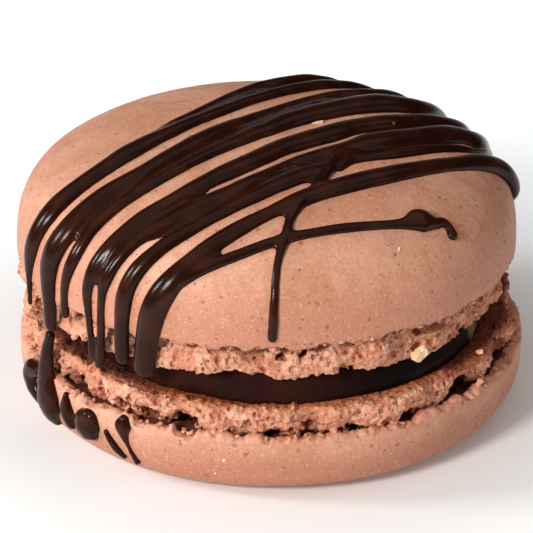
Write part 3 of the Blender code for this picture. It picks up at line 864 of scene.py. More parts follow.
@dataclass(kw_only=True)
class Cap:
    """The smooth skin of a shell, with a frayed skirt that hangs over the foot.

    Its way is 1 where the skirt points up and -1 where it points down. The skirt's points are
    (distance in from the outer side, distance past the rim) in mm.
    """

    name: str
    node: Node
    way: int
    radius: float
    rim: float
    foot_radius: float
    segments: int
    wobble: Wobble
    fraying: Fraying
    stance: Optional[Stance] = None
    groove: float = 0.9 * MM
    floor: float = 0.1 * MM
    lip_start: float = 0.02 * MM
    lip_end: float = 0.36 * MM
    skirt: Profile = ((0.03, 0.14), (0.12, 0.33), (0.26, 0.46), (0.5, 0.53), (0.9, 0.55), (1.15, 0.35))

    @property
    def inner(self) -> float:
        """The radius inside which the foot hides the cap."""
        return self.foot_radius - self.groove

    def skin(self) -> Profile:
        """The outline from the axis to the rim."""
        raise NotImplementedError

    def loose(self, points: np.ndarray) -> np.ndarray:
        """How far each point takes part in the shell's unevenness, from 0 to 1."""
        raise NotImplementedError

    def weather(self, cap: bpy.types.Object) -> None:
        """Roughen the skin."""
        raise NotImplementedError

    def profile(self) -> Profile:
        """The cap's outline from the axis over its skin and round the skirt to the axis again."""
        edge = [(self.radius - inset * MM, self.rim + self.way * past * MM) for inset, past in self.skirt]
        floor = self.rim - self.way * self.floor
        return list(self.skin()) + edge + [(self.inner, floor), (0.0, floor)]

    def lip(self, points: np.ndarray) -> np.ndarray:
        """How far each point belongs to the skirt's free edge, from 0 to 1."""
        outside = polar(points)[0] > self.inner + WELD
        return eased(self.way * (points[:, 2] - self.rim), self.lip_start, self.lip_end) * outside

    def shape(self, points: np.ndarray) -> np.ndarray:
        """The cap's points after its unevenness and its frayed edge."""
        bearing = polar(points)[1]
        drawn_back = -self.way * self.lip(points) * self.fraying.at(bearing)
        return pushed(points, self.loose(points) * self.wobble.at(bearing), drawn_back)

    def build(self, finish: ShellFinish, foot: "Foot") -> bpy.types.Object:
        """Make the cap, tear its skirt where the foot is torn, and put it in its place."""
        cap = Bench.lathe(self.name, self.profile(), self.segments)
        Bench.gather(cap, "lip", self.lip)
        Bench.reshape(cap, self.shape)
        Bench.roughen(cap, Pattern.CLOUDS, size=0.9 * MM, reach=0.35 * MM, group="lip")
        Bench.roughen(cap, Pattern.CLOUDS, size=0.26 * MM, reach=0.36 * MM, group="lip")
        self.weather(cap)
        Bench.carve(cap, foot.balls(foot.cavity_places(), 1), Carving.TAKE_OUT)
        if self.stance is not None:
            self.stance.settle(cap)
        return Bench.hand_over(cap, finish.material(), self.node)


@dataclass(kw_only=True)
class TopCap(Cap):
    """The smooth dome of the top shell, its skirt hanging down."""

    name: str = "top_dome"
    node: Node = Node.TOP
    way: int = -1
    section: DomeSection = DomeSection()
    radius: float = DomeSection.radius
    rim: float = 0.0
    foot_radius: float = 21.33 * MM
    segments: int = 860
    dome_rows: int = 64
    loose_shares: tuple[float, float] = (0.35, 0.6)
    stance: Optional[Stance] = TOP_STANCE
    wobble: Wobble = Wobble(0.8)
    fraying: Fraying = Fraying(5, DomeSection.radius, (
        (-140, 0.5, 0.28), (-106, 0.7, 0.25), (-98, 0.8, 0.34), (-92, 0.3, 0.15), (-86, 0.5, 0.2),
        (-77, 0.6, 0.3), (-68, 0.4, 0.15), (-60, 0.7, 0.2), (-45, 0.7, 0.3), (-36, 0.5, 0.15),
        (-24, 0.4, 0.2), (-12, 0.6, 0.16), (8, 0.5, 0.2), (31, 0.8, 0.24), (57, 0.5, 0.2),
        (84, 0.7, 0.25), (109, 0.4, 0.18), (133, 0.8, 0.26), (158, 0.5, 0.2), (178, 0.6, 0.2),
    ))

    def skin(self) -> Profile:
        """The outline of the dome."""
        return self.section.rows(self.dome_rows)

    def loose(self, points: np.ndarray) -> np.ndarray:
        """The dome is uneven towards its rim."""
        start, end = self.loose_shares
        return eased(polar(points)[0], start * self.radius, end * self.radius)

    def weather(self, cap: bpy.types.Object) -> None:
        """Roughen the dome in broad swells and in a fine grain."""
        Bench.roughen(cap, Pattern.CLOUDS, size=5 * MM, reach=0.1 * MM, depth=1)
        Bench.roughen(cap, Pattern.CLOUDS, size=0.9 * MM, reach=0.07 * MM)


@dataclass(kw_only=True)
class BottomCap(Cap):
    """The smooth cap of the bottom shell, flat where it rests, its skirt pointing up."""

    name: str = "bottom_cap"
    node: Node = Node.BOTTOM
    way: int = 1
    base_radius: float = 16.8 * MM
    flat_share: float = 0.6
    radius: float = 22.8 * MM
    rim: float = 5.79 * MM
    side_power: float = 3.1
    side_rows: int = 34
    foot_radius: float = 21.9 * MM
    segments: int = 900
    still: float = 0.8 * MM
    wobble: Wobble = Wobble(2.4)
    fraying: Fraying = Fraying(17, 22.8 * MM, (
        (-160, 0.5, 0.2), (-152, 0.4, 0.16), (-144, 0.6, 0.3), (-136, 0.6, 0.2), (-127, 0.5, 0.3),
        (-120, 0.9, 0.34), (-110, 0.9, 0.34), (-103, 0.4, 0.16), (-97, 0.7, 0.28), (-90, 0.5, 0.2),
        (-83, 0.4, 0.14), (-72, 0.9, 0.2), (-64, 0.5, 0.2), (-57, 0.8, 0.26), (-48, 0.5, 0.2),
        (-38, 1.0, 0.34), (-29, 0.6, 0.2), (-20, 0.8, 0.3), (-8, 0.6, 0.2), (12, 0.7, 0.24),
        (38, 0.5, 0.2), (61, 0.8, 0.3), (90, 0.6, 0.2), (118, 0.8, 0.26), (147, 0.6, 0.24), (171, 0.7, 0.2),
    ), reach=0.07 * MM)

    def outer_radius(self, height: float) -> float:
        """The radius at a height, which stays the same above the rim."""
        if height >= self.rim:
            return self.radius
        across = (1 - (1 - height / self.rim) ** self.side_power) ** (1 / self.side_power)
        return self.base_radius + (self.radius - self.base_radius) * across

    def skin(self) -> Profile:
        """The outline of the flat base and the rounded side."""
        angles = np.linspace(0, math.pi / 2, self.side_rows)
        across, down = np.sin(angles) ** (2 / self.side_power), np.cos(angles) ** (2 / self.side_power)
        radii = self.base_radius + (self.radius - self.base_radius) * across
        side = [(float(radius), float(height)) for radius, height in zip(radii, self.rim * (1 - down))]
        return [(0.0, 0.0), (self.flat_share * self.base_radius, 0.0)] + side

    def loose(self, points: np.ndarray) -> np.ndarray:
        """The cap is uneven above its base, as far in as the skirt goes."""
        return eased(points[:, 2], 0.0, self.still) * (polar(points)[0] > self.inner + WELD)

    def weather(self, cap: bpy.types.Object) -> None:
        """Roughen the cap, and keep its base flat."""
        Bench.roughen(cap, Pattern.CLOUDS, size=1.3 * MM, reach=0.04 * MM)
        Bench.reshape(cap, lambda points: np.column_stack([points[:, :2], np.maximum(points[:, 2], 0.0)]))


@dataclass
class Foot:
    """The spongy foot of a shell: a ring of lumpy crumb, full of bubbles, open towards the filling.

    Heights are in the shell's own frame. A mark is (bearing in degrees, height in mm, spread in mm,
    depth in mm, negative for a dent), and a hole is (bearing in degrees, height in mm, radius in mm).
    A dent as deep as torn is torn open. A droop is where the open face hangs lower, (bearing in degrees,
    spread in degrees, drop in mm). The sizes of the bubbles, gaps and crumbs are ranges in mm.
    """

    name: str
    node: Node
    free: float
    joined: float
    root: float
    radius: float
    width: float
    skirt_radius: float
    seed: int
    wobble: Wobble
    marks: Sequence[tuple[float, float, float, float]]
    holes: Places
    droops: Places = ()
    torn: float = -0.8
    grid: float = 0.12 * MM
    segments: int = 640
    side_rows: int = 26
    face_rows: int = 12
    bow: float = 0.5 * MM
    bow_place: float = 0.375
    edge_inset: float = 0.4 * MM
    face_edge: float = 2.2 * MM
    face_slope: float = 0.12 * MM
    groove: float = 0.9 * MM
    joint: float = 0.2 * MM
    ruffle: float = 0.13 * MM
    ruffle_waves: tuple[int, int, int, int] = (23, 9, 71, 113)
    lump_count: int = 150
    lump_spreads: tuple[float, float] = (0.7 * MM, 1.7 * MM)
    lump_depths: tuple[float, float] = (0.12 * MM, 0.42 * MM)
    lump_limits: tuple[float, float] = (-1.1 * MM, 0.75 * MM)
    granules: int = 560
    pores: int = 850
    bubbles: int = 170
    cavity_bubbles: int = 12
    seam_gaps: int = 120
    collar: int = 320
    pore_sizes: tuple[float, float] = (0.1, 0.22)
    bubble_sizes: tuple[float, float] = (0.24, 0.46)
    cavity_sizes: tuple[float, float] = (0.27, 0.52)
    gap_sizes: tuple[float, float] = (0.12, 0.3)
    collar_sizes: tuple[float, float] = (0.12, 0.3)
    most_triangles: int = 190_000

    @property
    def way(self) -> int:
        """1 where the foot's open face looks up and -1 where it looks down."""
        return 1 if self.free > self.joined else -1

    @property
    def levels(self) -> tuple[float, float]:
        """The side's lower and upper end."""
        return min(self.free, self.joined), max(self.free, self.joined)

    def lumps(self) -> list[tuple[float, float, float, float]]:
        """The broad seeded lumps and dents, each (bearing, height, spread, depth)."""
        draw = random.Random(self.seed)
        found = []
        for index in range(self.lump_count):
            spread = draw.uniform(*self.lump_spreads)
            depth = draw.uniform(*self.lump_depths) * (1 if index % 3 else -1.4)
            found.append((draw.uniform(-math.pi, math.pi), draw.uniform(*self.levels), spread, depth))
        return found

    def relief(self, marks: Sequence[tuple], bearing: np.ndarray, height: np.ndarray) -> np.ndarray:
        """How far marks in radians and metres push the side outwards at each place."""
        push = np.zeros_like(bearing)
        for centre, level, spread, depth in marks:
            across = turned_away(bearing, centre) * self.radius
            push += depth * np.exp(-(across**2 + (height - level) ** 2) / (2 * spread**2))
        return push

    def swell(self, bearing: np.ndarray, height: np.ndarray) -> np.ndarray:
        """All that is added to the plain outline of the side at each place."""
        large = [(math.radians(mark[0]), *(value * MM for value in mark[1:])) for mark in self.marks]
        push = np.clip(self.relief(self.lumps(), bearing, height), *self.lump_limits)
        return push + self.relief(large, bearing, height) + self.wobble.at(bearing)

    def bowed(self, share: Union[float, np.ndarray]) -> Union[float, np.ndarray]:
        """The radius of the side without its lumps, at a share of the way from the open face."""
        return self.radius - self.edge_inset + self.bow * (1 - (2 * (share - self.bow_place)) ** 2)

    def side(self, bearing: np.ndarray, height: np.ndarray) -> np.ndarray:
        """The radius of the lumpy side at each bearing and height."""
        return self.bowed((height - self.free) / (self.joined - self.free)) + self.swell(bearing, height)

    def profile(self) -> Profile:
        """The ring's closed outline, from the inner edge of its open face round to that edge."""
        inner, slope = self.radius - self.width, self.way * self.face_slope
        start, end = self.radius - self.face_edge, self.bowed(0.0)
        reach = self.width - self.face_edge
        face = [float(share) for share in np.linspace(0, 1, self.face_rows)]
        outline = [(inner, self.free)]
        outline += [(inner + reach * share, self.free - slope * share) for share in face[1:]]
        outline += [(start + (end - start) * share, self.free - slope * (1 - share)) for share in face[1:-1]]
        for share in np.linspace(0, 1, self.side_rows):
            outline.append((self.bowed(float(share)), self.free + (self.joined - self.free) * float(share)))
        outline.append((self.radius - self.groove, self.joined - self.way * self.joint))
        return outline + [(start, self.root), (inner, self.root), (inner, self.free)]

    def shape(self, points: np.ndarray) -> np.ndarray:
        """The ring's points after the lumps, dents and marks of its side."""
        distance, bearing = polar(points)
        outer = eased(distance, self.radius - self.face_edge, self.radius - self.groove)
        phase = self.wobble.phase
        slow, slower, quick, quicker = self.ruffle_waves
        ruffled = np.abs(np.sin(slow * bearing + phase) + np.sin(slower * bearing + 2 * phase))
        ruffled += 1.2 * np.abs(np.sin(quick * bearing + 3 * phase) * np.sin(quicker * bearing + phase))
        at_edge = eased(-np.abs(points[:, 2] - self.free), -0.3 * MM, 0.0) * outer
        gone = np.clip((points[:, 2] - self.joined) / (self.free - self.joined), 0, 1) * outer
        lift = self.way * (self.droop(bearing) * gone - self.ruffle * ruffled * at_edge)
        return pushed(points, outer * self.swell(bearing, points[:, 2]), lift)

    def droop(self, bearing: np.ndarray) -> np.ndarray:
        """How much further the open face reaches at each bearing."""
        total = np.zeros_like(bearing)
        for centre, spread, drop in self.droops:
            away = turned_away(bearing, math.radians(centre)) / math.radians(spread)
            total += drop * MM * np.exp(-(away**2) / 2)
        return total

    def spot(self, bearing: float, height: float, sunk: float, size: Sequence[float], turn: float) -> Matrix:
        """A place on the side for a ball.

        Args:
            bearing: The bearing in radians.
            height: The height in the shell's own frame.
            sunk: How far the ball's middle lies under the side.
            size: The ball's radii outwards, along the side and upwards.
            turn: How far it is turned on the side.

        Returns:
            The matrix that takes a ball of radius one there.
        """
        level = np.array([np.clip(height, *self.levels)])
        out = float(self.side(np.array([bearing]), level)[0]) - sunk
        return self.oval(bearing, out, height, turn, size)

    @staticmethod
    def oval(bearing: float, out: float, height: float, turn: float, radii: Sequence[float]) -> Matrix:
        """The matrix that makes an oval of a ball of radius one, out from the axis at a bearing."""
        centre = Vector((math.cos(bearing) * out, math.sin(bearing) * out, height))
        turned = Matrix.Rotation(bearing, 4, "Z") @ Matrix.Rotation(turn, 4, "X")
        return Matrix.Translation(centre) @ turned @ Matrix.Diagonal((*radii, 1.0))

    def balls(self, places: Sequence[Matrix], roundness: int = 2) -> list[bpy.types.Object]:
        """Balls at these places, each of its own mesh: angular for a roundness of 1, round for 2."""
        Bench.pick()
        bpy.ops.mesh.primitive_ico_sphere_add(subdivisions=roundness, radius=1)
        return Bench.copies(bpy.context.active_object, places)

    def granule_places(self, draw: random.Random) -> list[Matrix]:
        """Where crumbs stand out of the side, and in a collar under the skirt."""
        places = []
        low, high = self.levels
        for _ in range(self.granules):
            size = 0.18 * MM + 0.36 * MM * draw.random() ** 1.6
            radii = [size * draw.uniform(0.75, 1.3) for _ in range(3)]
            level, bearing = draw.uniform(low + 0.1 * MM, high), draw.uniform(-math.pi, math.pi)
            sunk = size * draw.uniform(0.4, 0.9)
            places.append(self.spot(bearing, level, sunk, radii, draw.uniform(0, TURN)))
        for _ in range(self.collar):
            size = draw.uniform(*self.collar_sizes) * MM
            bearing, out = draw.uniform(-math.pi, math.pi), self.skirt_radius - draw.uniform(0.3, 0.95) * MM
            level = self.joined + self.way * draw.uniform(-0.1, 0.5) * MM
            radii = [size * draw.uniform(0.8, 1.5) for _ in range(3)]
            places.append(self.oval(bearing, out, level, draw.uniform(0, TURN), radii))
        return places

    def bubble_places(self, draw: random.Random) -> list[Matrix]:
        """Where bubbles are open to the side: pores, larger bubbles and single holes."""
        places = []
        low, high = self.levels
        for index in range(self.pores + self.bubbles):
            size = draw.uniform(*(self.pore_sizes if index < self.pores else self.bubble_sizes)) * MM
            radii = [size * draw.uniform(0.8, 1.3) for _ in range(3)]
            level, bearing = draw.uniform(low - 0.05 * MM, high + 0.05 * MM), draw.uniform(-math.pi, math.pi)
            sunk = size * draw.uniform(-0.35, 0.5)
            places.append(self.spot(bearing, level, sunk, radii, draw.uniform(0, TURN)))
        for bearing, level, size in self.holes:
            radii = (0.5 * MM, size * MM, size * MM)
            places.append(self.spot(math.radians(bearing), level * MM, 0.1 * MM, radii, 0.0))
        return places

    def cavity_places(self) -> list[Matrix]:
        """Where the foot tore open: clusters of angular gaps at the marks, and small ones along the skirt."""
        draw = random.Random(self.seed * 5 + 1)
        places = []
        for bearing, level, spread, depth in self.marks:
            for _ in range(self.cavity_bubbles if depth <= self.torn else 0):
                size = draw.uniform(*self.cavity_sizes) * spread**0.5 * MM
                radii = (size * 2.4, size * draw.uniform(0.9, 1.9), size * draw.uniform(0.7, 1.2))
                along = math.radians(bearing) + draw.gauss(0, 0.7) * spread * MM / self.radius
                height = (level + draw.gauss(0, 0.3) * spread) * MM
                places.append(self.spot(along, height, draw.uniform(0, 0.6) * MM, radii, draw.gauss(0, 0.5)))
        for _ in range(self.seam_gaps):
            size = draw.uniform(*self.gap_sizes) * MM
            radii = (size * 2.6, size * draw.uniform(0.9, 2.8), size * draw.uniform(0.5, 0.9))
            level = self.joined - self.way * draw.uniform(-0.25, 0.3) * MM
            along, sunk = draw.uniform(-math.pi, math.pi), draw.uniform(-0.2, 0.5) * MM
            places.append(self.spot(along, level, sunk, radii, draw.gauss(0, 0.5)))
        return places

    def build(self, material: bpy.types.Material, stance: Optional[Stance] = None) -> bpy.types.Object:
        """Make the ring, its crumbs and its bubbles, and put it in its place."""
        draw = random.Random(self.seed * 7 + 3)
        ring = Bench.lathe(self.name, self.profile(), self.segments)
        Bench.reshape(ring, self.shape)
        Bench.roughen(ring, Pattern.CLOUDS, size=1.5 * MM, reach=0.35 * MM)
        Bench.carve(ring, self.balls(self.granule_places(draw)), Carving.ADD)
        Bench.carve(ring, self.balls(self.bubble_places(draw)), Carving.TAKE_OUT)
        Bench.carve(ring, self.balls(self.cavity_places(), 1), Carving.TAKE_OUT)
        Bench.melt(ring, self.grid, softness=0.3, passes=1)
        Bench.roughen(ring, Pattern.LUMPS, size=0.6 * MM, reach=0.2 * MM)
        Bench.roughen(ring, Pattern.CLOUDS, size=0.4 * MM, reach=0.5 * MM)
        Bench.thin_out(ring, self.most_triangles)
        if stance is not None:
            stance.settle(ring)
        return Bench.hand_over(ring, material, self.node)


TOP_FOOT = Foot(
    name="top_foot_ring",
    node=Node.TOP,
    free=-3.55 * MM,
    joined=-0.2 * MM,
    root=0.9 * MM,
    radius=21.33 * MM,
    width=4.0 * MM,
    skirt_radius=22.5 * MM,
    seed=11,
    wobble=Wobble(0.8),
    marks=[
        (-176, -2.1, 1.0, 1.3), (-140, -1.2, 0.7, -1.0), (-106, -0.5, 0.6, -0.8), (-98, -0.4, 0.6, -0.8),
        (-86.5, -1.7, 0.4, -0.8), (-80.5, -1.6, 0.3, -0.8), (-77, -0.5, 0.4, -0.8), (-68.5, -0.3, 0.5, -0.8),
        (-71, -2.9, 0.4, -0.6), (-45, -0.6, 0.6, -0.9),
    ],
    holes=[
        (-103, -2.1, 0.2), (-98.5, -2.2, 0.17), (-103.7, -2.7, 0.2), (-92.6, -2.2, 0.2), (-90.4, -2.9, 0.26),
    ],
    droops=[(-51, 13, 0.8), (-82, 6, 0.55)],
)

BOTTOM_FOOT = Foot(
    name="bottom_foot_ring",
    node=Node.BOTTOM,
    free=9.05 * MM,
    joined=5.99 * MM,
    root=4.89 * MM,
    radius=21.9 * MM,
    width=4.3 * MM,
    skirt_radius=22.8 * MM,
    seed=29,
    wobble=Wobble(2.4),
    marks=[
        (-177, 8.9, 1.3, -0.6), (-144, 6.5, 0.8, -1.1), (-127, 7.1, 0.6, -0.9), (-120, 6.9, 0.9, -1.2),
        (-111, 6.5, 1.0, -1.2), (-98, 6.6, 0.9, -0.7), (-89.5, 6.1, 0.5, -0.9), (-80, 6.7, 0.9, -0.6),
        (-71, 6.2, 0.8, -0.9), (-57, 6.3, 0.8, -0.9), (-38, 6.3, 1.2, -1.2), (-20, 7.5, 1.1, -1.2),
    ],
    holes=[(-103, 8.7, 0.16), (-100, 8.5, 0.16), (-90.5, 8.1, 0.2), (-82.5, 7.0, 0.22), (-95, 7.6, 0.15)],
)


# Filling


@dataclass
class Filling:
    """The ganache: a soft-edged disc, set back on the left, that sags over the foot at the front."""

    radius: float = 20.2 * MM
    low: float = 9.1 * MM
    high: float = 10.98 * MM
    bulge: float = 0.3 * MM
    tilt: float = math.radians(-1.8)
    recess: float = 1.1 * MM
    recess_bearing: float = math.radians(-150)
    recess_spread: float = 0.6
    right_recess: float = 1.3 * MM
    right_bearing: float = math.radians(-8)
    right_spread: float = 0.1
    sag: float = 0.75 * MM
    sag_bearing: float = math.radians(-84)
    sag_spread: float = 0.75
    sag_drop: float = 0.4
    flat_share: float = 0.7
    free_share: float = 0.85
    wave: float = 0.22 * MM
    drip: float = 0.1 * MM
    face_shares: tuple[float, ...] = (0.0, 0.5, 0.7, 0.8, 0.9, 0.96)
    segments: int = 640
    edge_rows: int = 26

    def profile(self) -> Profile:
        """The disc's outline from the middle of its top to the middle of its underside."""
        middle, half = (self.low + self.high) / 2, (self.high - self.low) / 2
        face = [(share * self.radius, self.high) for share in self.face_shares]
        edge = [
            (self.radius + self.bulge * math.cos(float(angle)), middle + half * math.sin(float(angle)))
            for angle in np.linspace(math.pi / 2, -math.pi / 2, self.edge_rows)
        ]
        return face + edge + [(radius, self.low) for radius, _ in reversed(face)]

    def shape(self, points: np.ndarray) -> np.ndarray:
        """The disc's points after its tilt, its recess on the left, its sag and its waves."""
        distance, bearing = polar(points)
        share = (points[:, 2] - self.low) / (self.high - self.low)
        outer = eased(distance, self.flat_share * self.radius, self.free_share * self.radius)
        recess = self.recess * nearness(bearing, self.recess_bearing, self.recess_spread)
        recess += self.right_recess * nearness(bearing, self.right_bearing, self.right_spread)
        wave = self.wave * np.sin(6 * bearing) * np.sin(5 * bearing + 1)
        drip = self.drip * np.sin(31 * bearing) * np.sin(13 * bearing + 0.4) * (1 - share)
        near_front = nearness(bearing, self.sag_bearing, self.sag_spread)
        sag = self.sag * near_front * np.clip(1 - share, 0, 1) ** 1.3
        lift = share * math.tan(self.tilt) * points[:, 1] - outer * self.sag_drop * sag
        return pushed(points, outer * (wave + drip - recess + sag), lift)

    def build(self, finish: GanacheFinish) -> bpy.types.Object:
        """Make the filling."""
        disc = Bench.lathe("filling", self.profile(), self.segments)
        Bench.reshape(disc, self.shape)
        Bench.roughen(disc, Pattern.CLOUDS, size=1.6 * MM, reach=0.14 * MM)
        return Bench.hand_over(disc, finish.material(), Node.FILLING)


# Chocolate


class DomeChart:
    """Carries points of the flattened shell onto the dome and down past its rim."""

    slope_step = 0.15 * MM

    def __init__(self, section: DomeSection, wobble: Wobble, steps: int = 900) -> None:
        """Measure the dome's section from its top to its rim."""
        angles = math.pi / 2 * (1 - np.linspace(0, 1, steps)) ** 1.5
        rows = np.array([section.point(float(angle)) for angle in angles])
        rows[0, 0] = 0.0
        self.wobble = wobble
        self.radii, self.heights = rows[:, 0], rows[:, 1]
        self.runs = np.concatenate([[0.0], np.cumsum(np.hypot(np.diff(rows[:, 0]), np.diff(rows[:, 1])))])
        self.rim = float(self.runs[-1])

    def place(self, flat: np.ndarray, lift: np.ndarray) -> tuple[np.ndarray, np.ndarray]:
        """Lay points of the flattened shell on the dome.

        Args:
            flat: Rows (right, back) on the flattened shell.
            lift: How far over the surface each point is raised.

        Returns:
            The points and the outward normals.
        """
        run, bearing = np.hypot(flat[:, 0], flat[:, 1]), np.arctan2(flat[:, 1], flat[:, 0])
        inside = np.minimum(run, self.rim)
        radius, height = np.interp(inside, self.runs, self.radii), np.interp(inside, self.runs, self.heights)
        height = height - np.maximum(run - self.rim, 0.0)
        ahead = np.minimum(inside + self.slope_step, self.rim)
        behind = np.maximum(inside - self.slope_step, 0.0)
        grown = np.interp(ahead, self.runs, self.radii) - np.interp(behind, self.runs, self.radii)
        fallen = np.interp(behind, self.runs, self.heights) - np.interp(ahead, self.runs, self.heights)
        slope = np.where(run >= self.rim, 0.0, np.arctan2(grown, fallen))
        out = facing(bearing)
        normal = out * np.cos(slope)[:, None] + UP * np.sin(slope)[:, None]
        bare = out * (radius + self.wobble.at(bearing))[:, None] + UP * height[:, None]
        return bare + normal * lift[:, None], normal

    def past_rim(self, bearing: float, past: float, width: float) -> tuple[float, float, float, float]:
        """A point of the flattened shell, in mm, from a bearing in degrees and a distance past the rim."""
        run, angle = self.rim / MM + past, math.radians(bearing)
        return run * math.cos(angle), run * math.sin(angle), width, 0.0


def smooth_route(points: Sequence[Sequence[float]], steps: int = 24) -> np.ndarray:
    """A smooth curve through points of any number of values, as rows."""
    rows = np.array(points, float)
    ends = np.vstack([rows[:1], rows, rows[-1:]])
    t = np.linspace(0, 1, steps, endpoint=False)[:, None]
    pieces = []
    for before, start, end, after in zip(ends, ends[1:], ends[2:], ends[3:]):
        bend = (end - before) * t + (2 * before - 5 * start + 4 * end - after) * t * t
        pieces.append(0.5 * (2 * start + bend + (3 * start - 3 * end + after - before) * t**3))
    return np.vstack(pieces + [rows[-1:]])


@dataclass(frozen=True)
class Rope:
    """A bead of chocolate along a route: an oval tube partly sunk in what it lies on, with round ends."""

    spacing: float = 0.16 * MM
    sides: int = 26
    thickness: float = 0.16 * MM
    thickness_share: float = 0.3
    sunk_share: float = 0.75
    swollen: float = 0.09 * MM
    end_rings: int = 6
    end_reach: float = 0.45

    def along(self, centres: np.ndarray, normals: np.ndarray, widths: np.ndarray) -> tuple[np.ndarray, ...]:
        """The route's rings, evenly spaced and rounded off at both ends.

        Args:
            centres: Points on the surface.
            normals: The surface's outward normals there.
            widths: The bead's widths.

        Returns:
            The rings' centres, sideways and outward directions, widths and shares of the full section.
        """
        gone = np.concatenate([[0.0], np.cumsum(np.linalg.norm(np.diff(centres, axis=0), axis=1))])
        even = np.linspace(0, gone[-1], max(4, int(gone[-1] / self.spacing)))
        centre = np.column_stack([np.interp(even, gone, column) for column in centres.T])
        normal = np.column_stack([np.interp(even, gone, column) for column in normals.T])
        width = np.interp(even, gone, widths)
        ahead = np.gradient(centre, axis=0)
        ahead /= np.linalg.norm(ahead, axis=1)[:, None]
        outward = normal - ahead * (normal * ahead).sum(1)[:, None]
        outward /= np.linalg.norm(outward, axis=1)[:, None]
        turn = np.linspace(0, math.pi / 2, self.end_rings, endpoint=False)
        reach, share = self.end_reach * np.cos(turn)[:, None], np.sin(turn)
        start = centre[0] - ahead[0] * reach * width[0]
        end = (centre[-1] + ahead[-1] * reach * width[-1])[::-1]

        def held(values: np.ndarray) -> np.ndarray:
            """Values of the route, held for the rings of both round ends."""
            count = self.end_rings
            first, last = np.repeat(values[:1], count, 0), np.repeat(values[-1:], count, 0)
            return np.concatenate([first, values, last])

        shares = np.concatenate([share, np.ones(len(even)), share[::-1]])
        sideways = np.cross(held(ahead), held(outward))
        return np.vstack([start, centre, end]), sideways, held(outward), held(width), shares

    def lay(
        self, name: str, centres: np.ndarray, normals: np.ndarray, widths: np.ndarray
    ) -> bpy.types.Object:
        """Roll a grid up into the bead and lay it along the route.

        Args:
            name: The new object's name.
            centres: Points on the surface.
            normals: The surface's outward normals there.
            widths: The bead's widths.

        Returns:
            The closed bead.
        """
        centre, side, outward, width, share = self.along(centres, normals, widths)
        Bench.pick()
        bpy.ops.mesh.primitive_grid_add(x_subdivisions=len(centre) - 1, y_subdivisions=self.sides, size=1)
        bead = Bench.name_new(name)

        def roll(points: np.ndarray) -> np.ndarray:
            """Each point of the grid on its ring."""
            ring = (points[:, 0] + 0.5) * (len(centre) - 1)
            angle = (points[:, 1] + 0.5) * TURN

            def at(values: np.ndarray) -> np.ndarray:
                """Values of the rings at the points."""
                if values.ndim == 2:
                    return np.column_stack([at(column) for column in values.T])
                return np.interp(ring, np.arange(len(values)), values)

            half = 0.5 * at(width) + self.swollen
            high = self.thickness + self.thickness_share * at(width) + self.swollen
            lift = np.sin(angle) * high * np.where(np.sin(angle) > 0, 1.0, self.sunk_share)
            across = half * np.cos(angle)
            away = at(side) * across[:, None] + at(outward) * lift[:, None]
            return at(centre) + away * at(share)[:, None]

        Bench.reshape(bead, roll)
        with Bench.editing():
            Bench.close_up()
        return bead


@dataclass(frozen=True)
class Web:
    """Where two strands ran together: from how far right to how far right, in mm on the flattened shell."""

    first: str
    second: str
    start: float
    end: float
    breadth: float = 0.5
    fading: float = 0.25
    least: float = 0.12 * MM
    most: float = 2.4 * MM
    end_sunk: float = 0.25 * MM


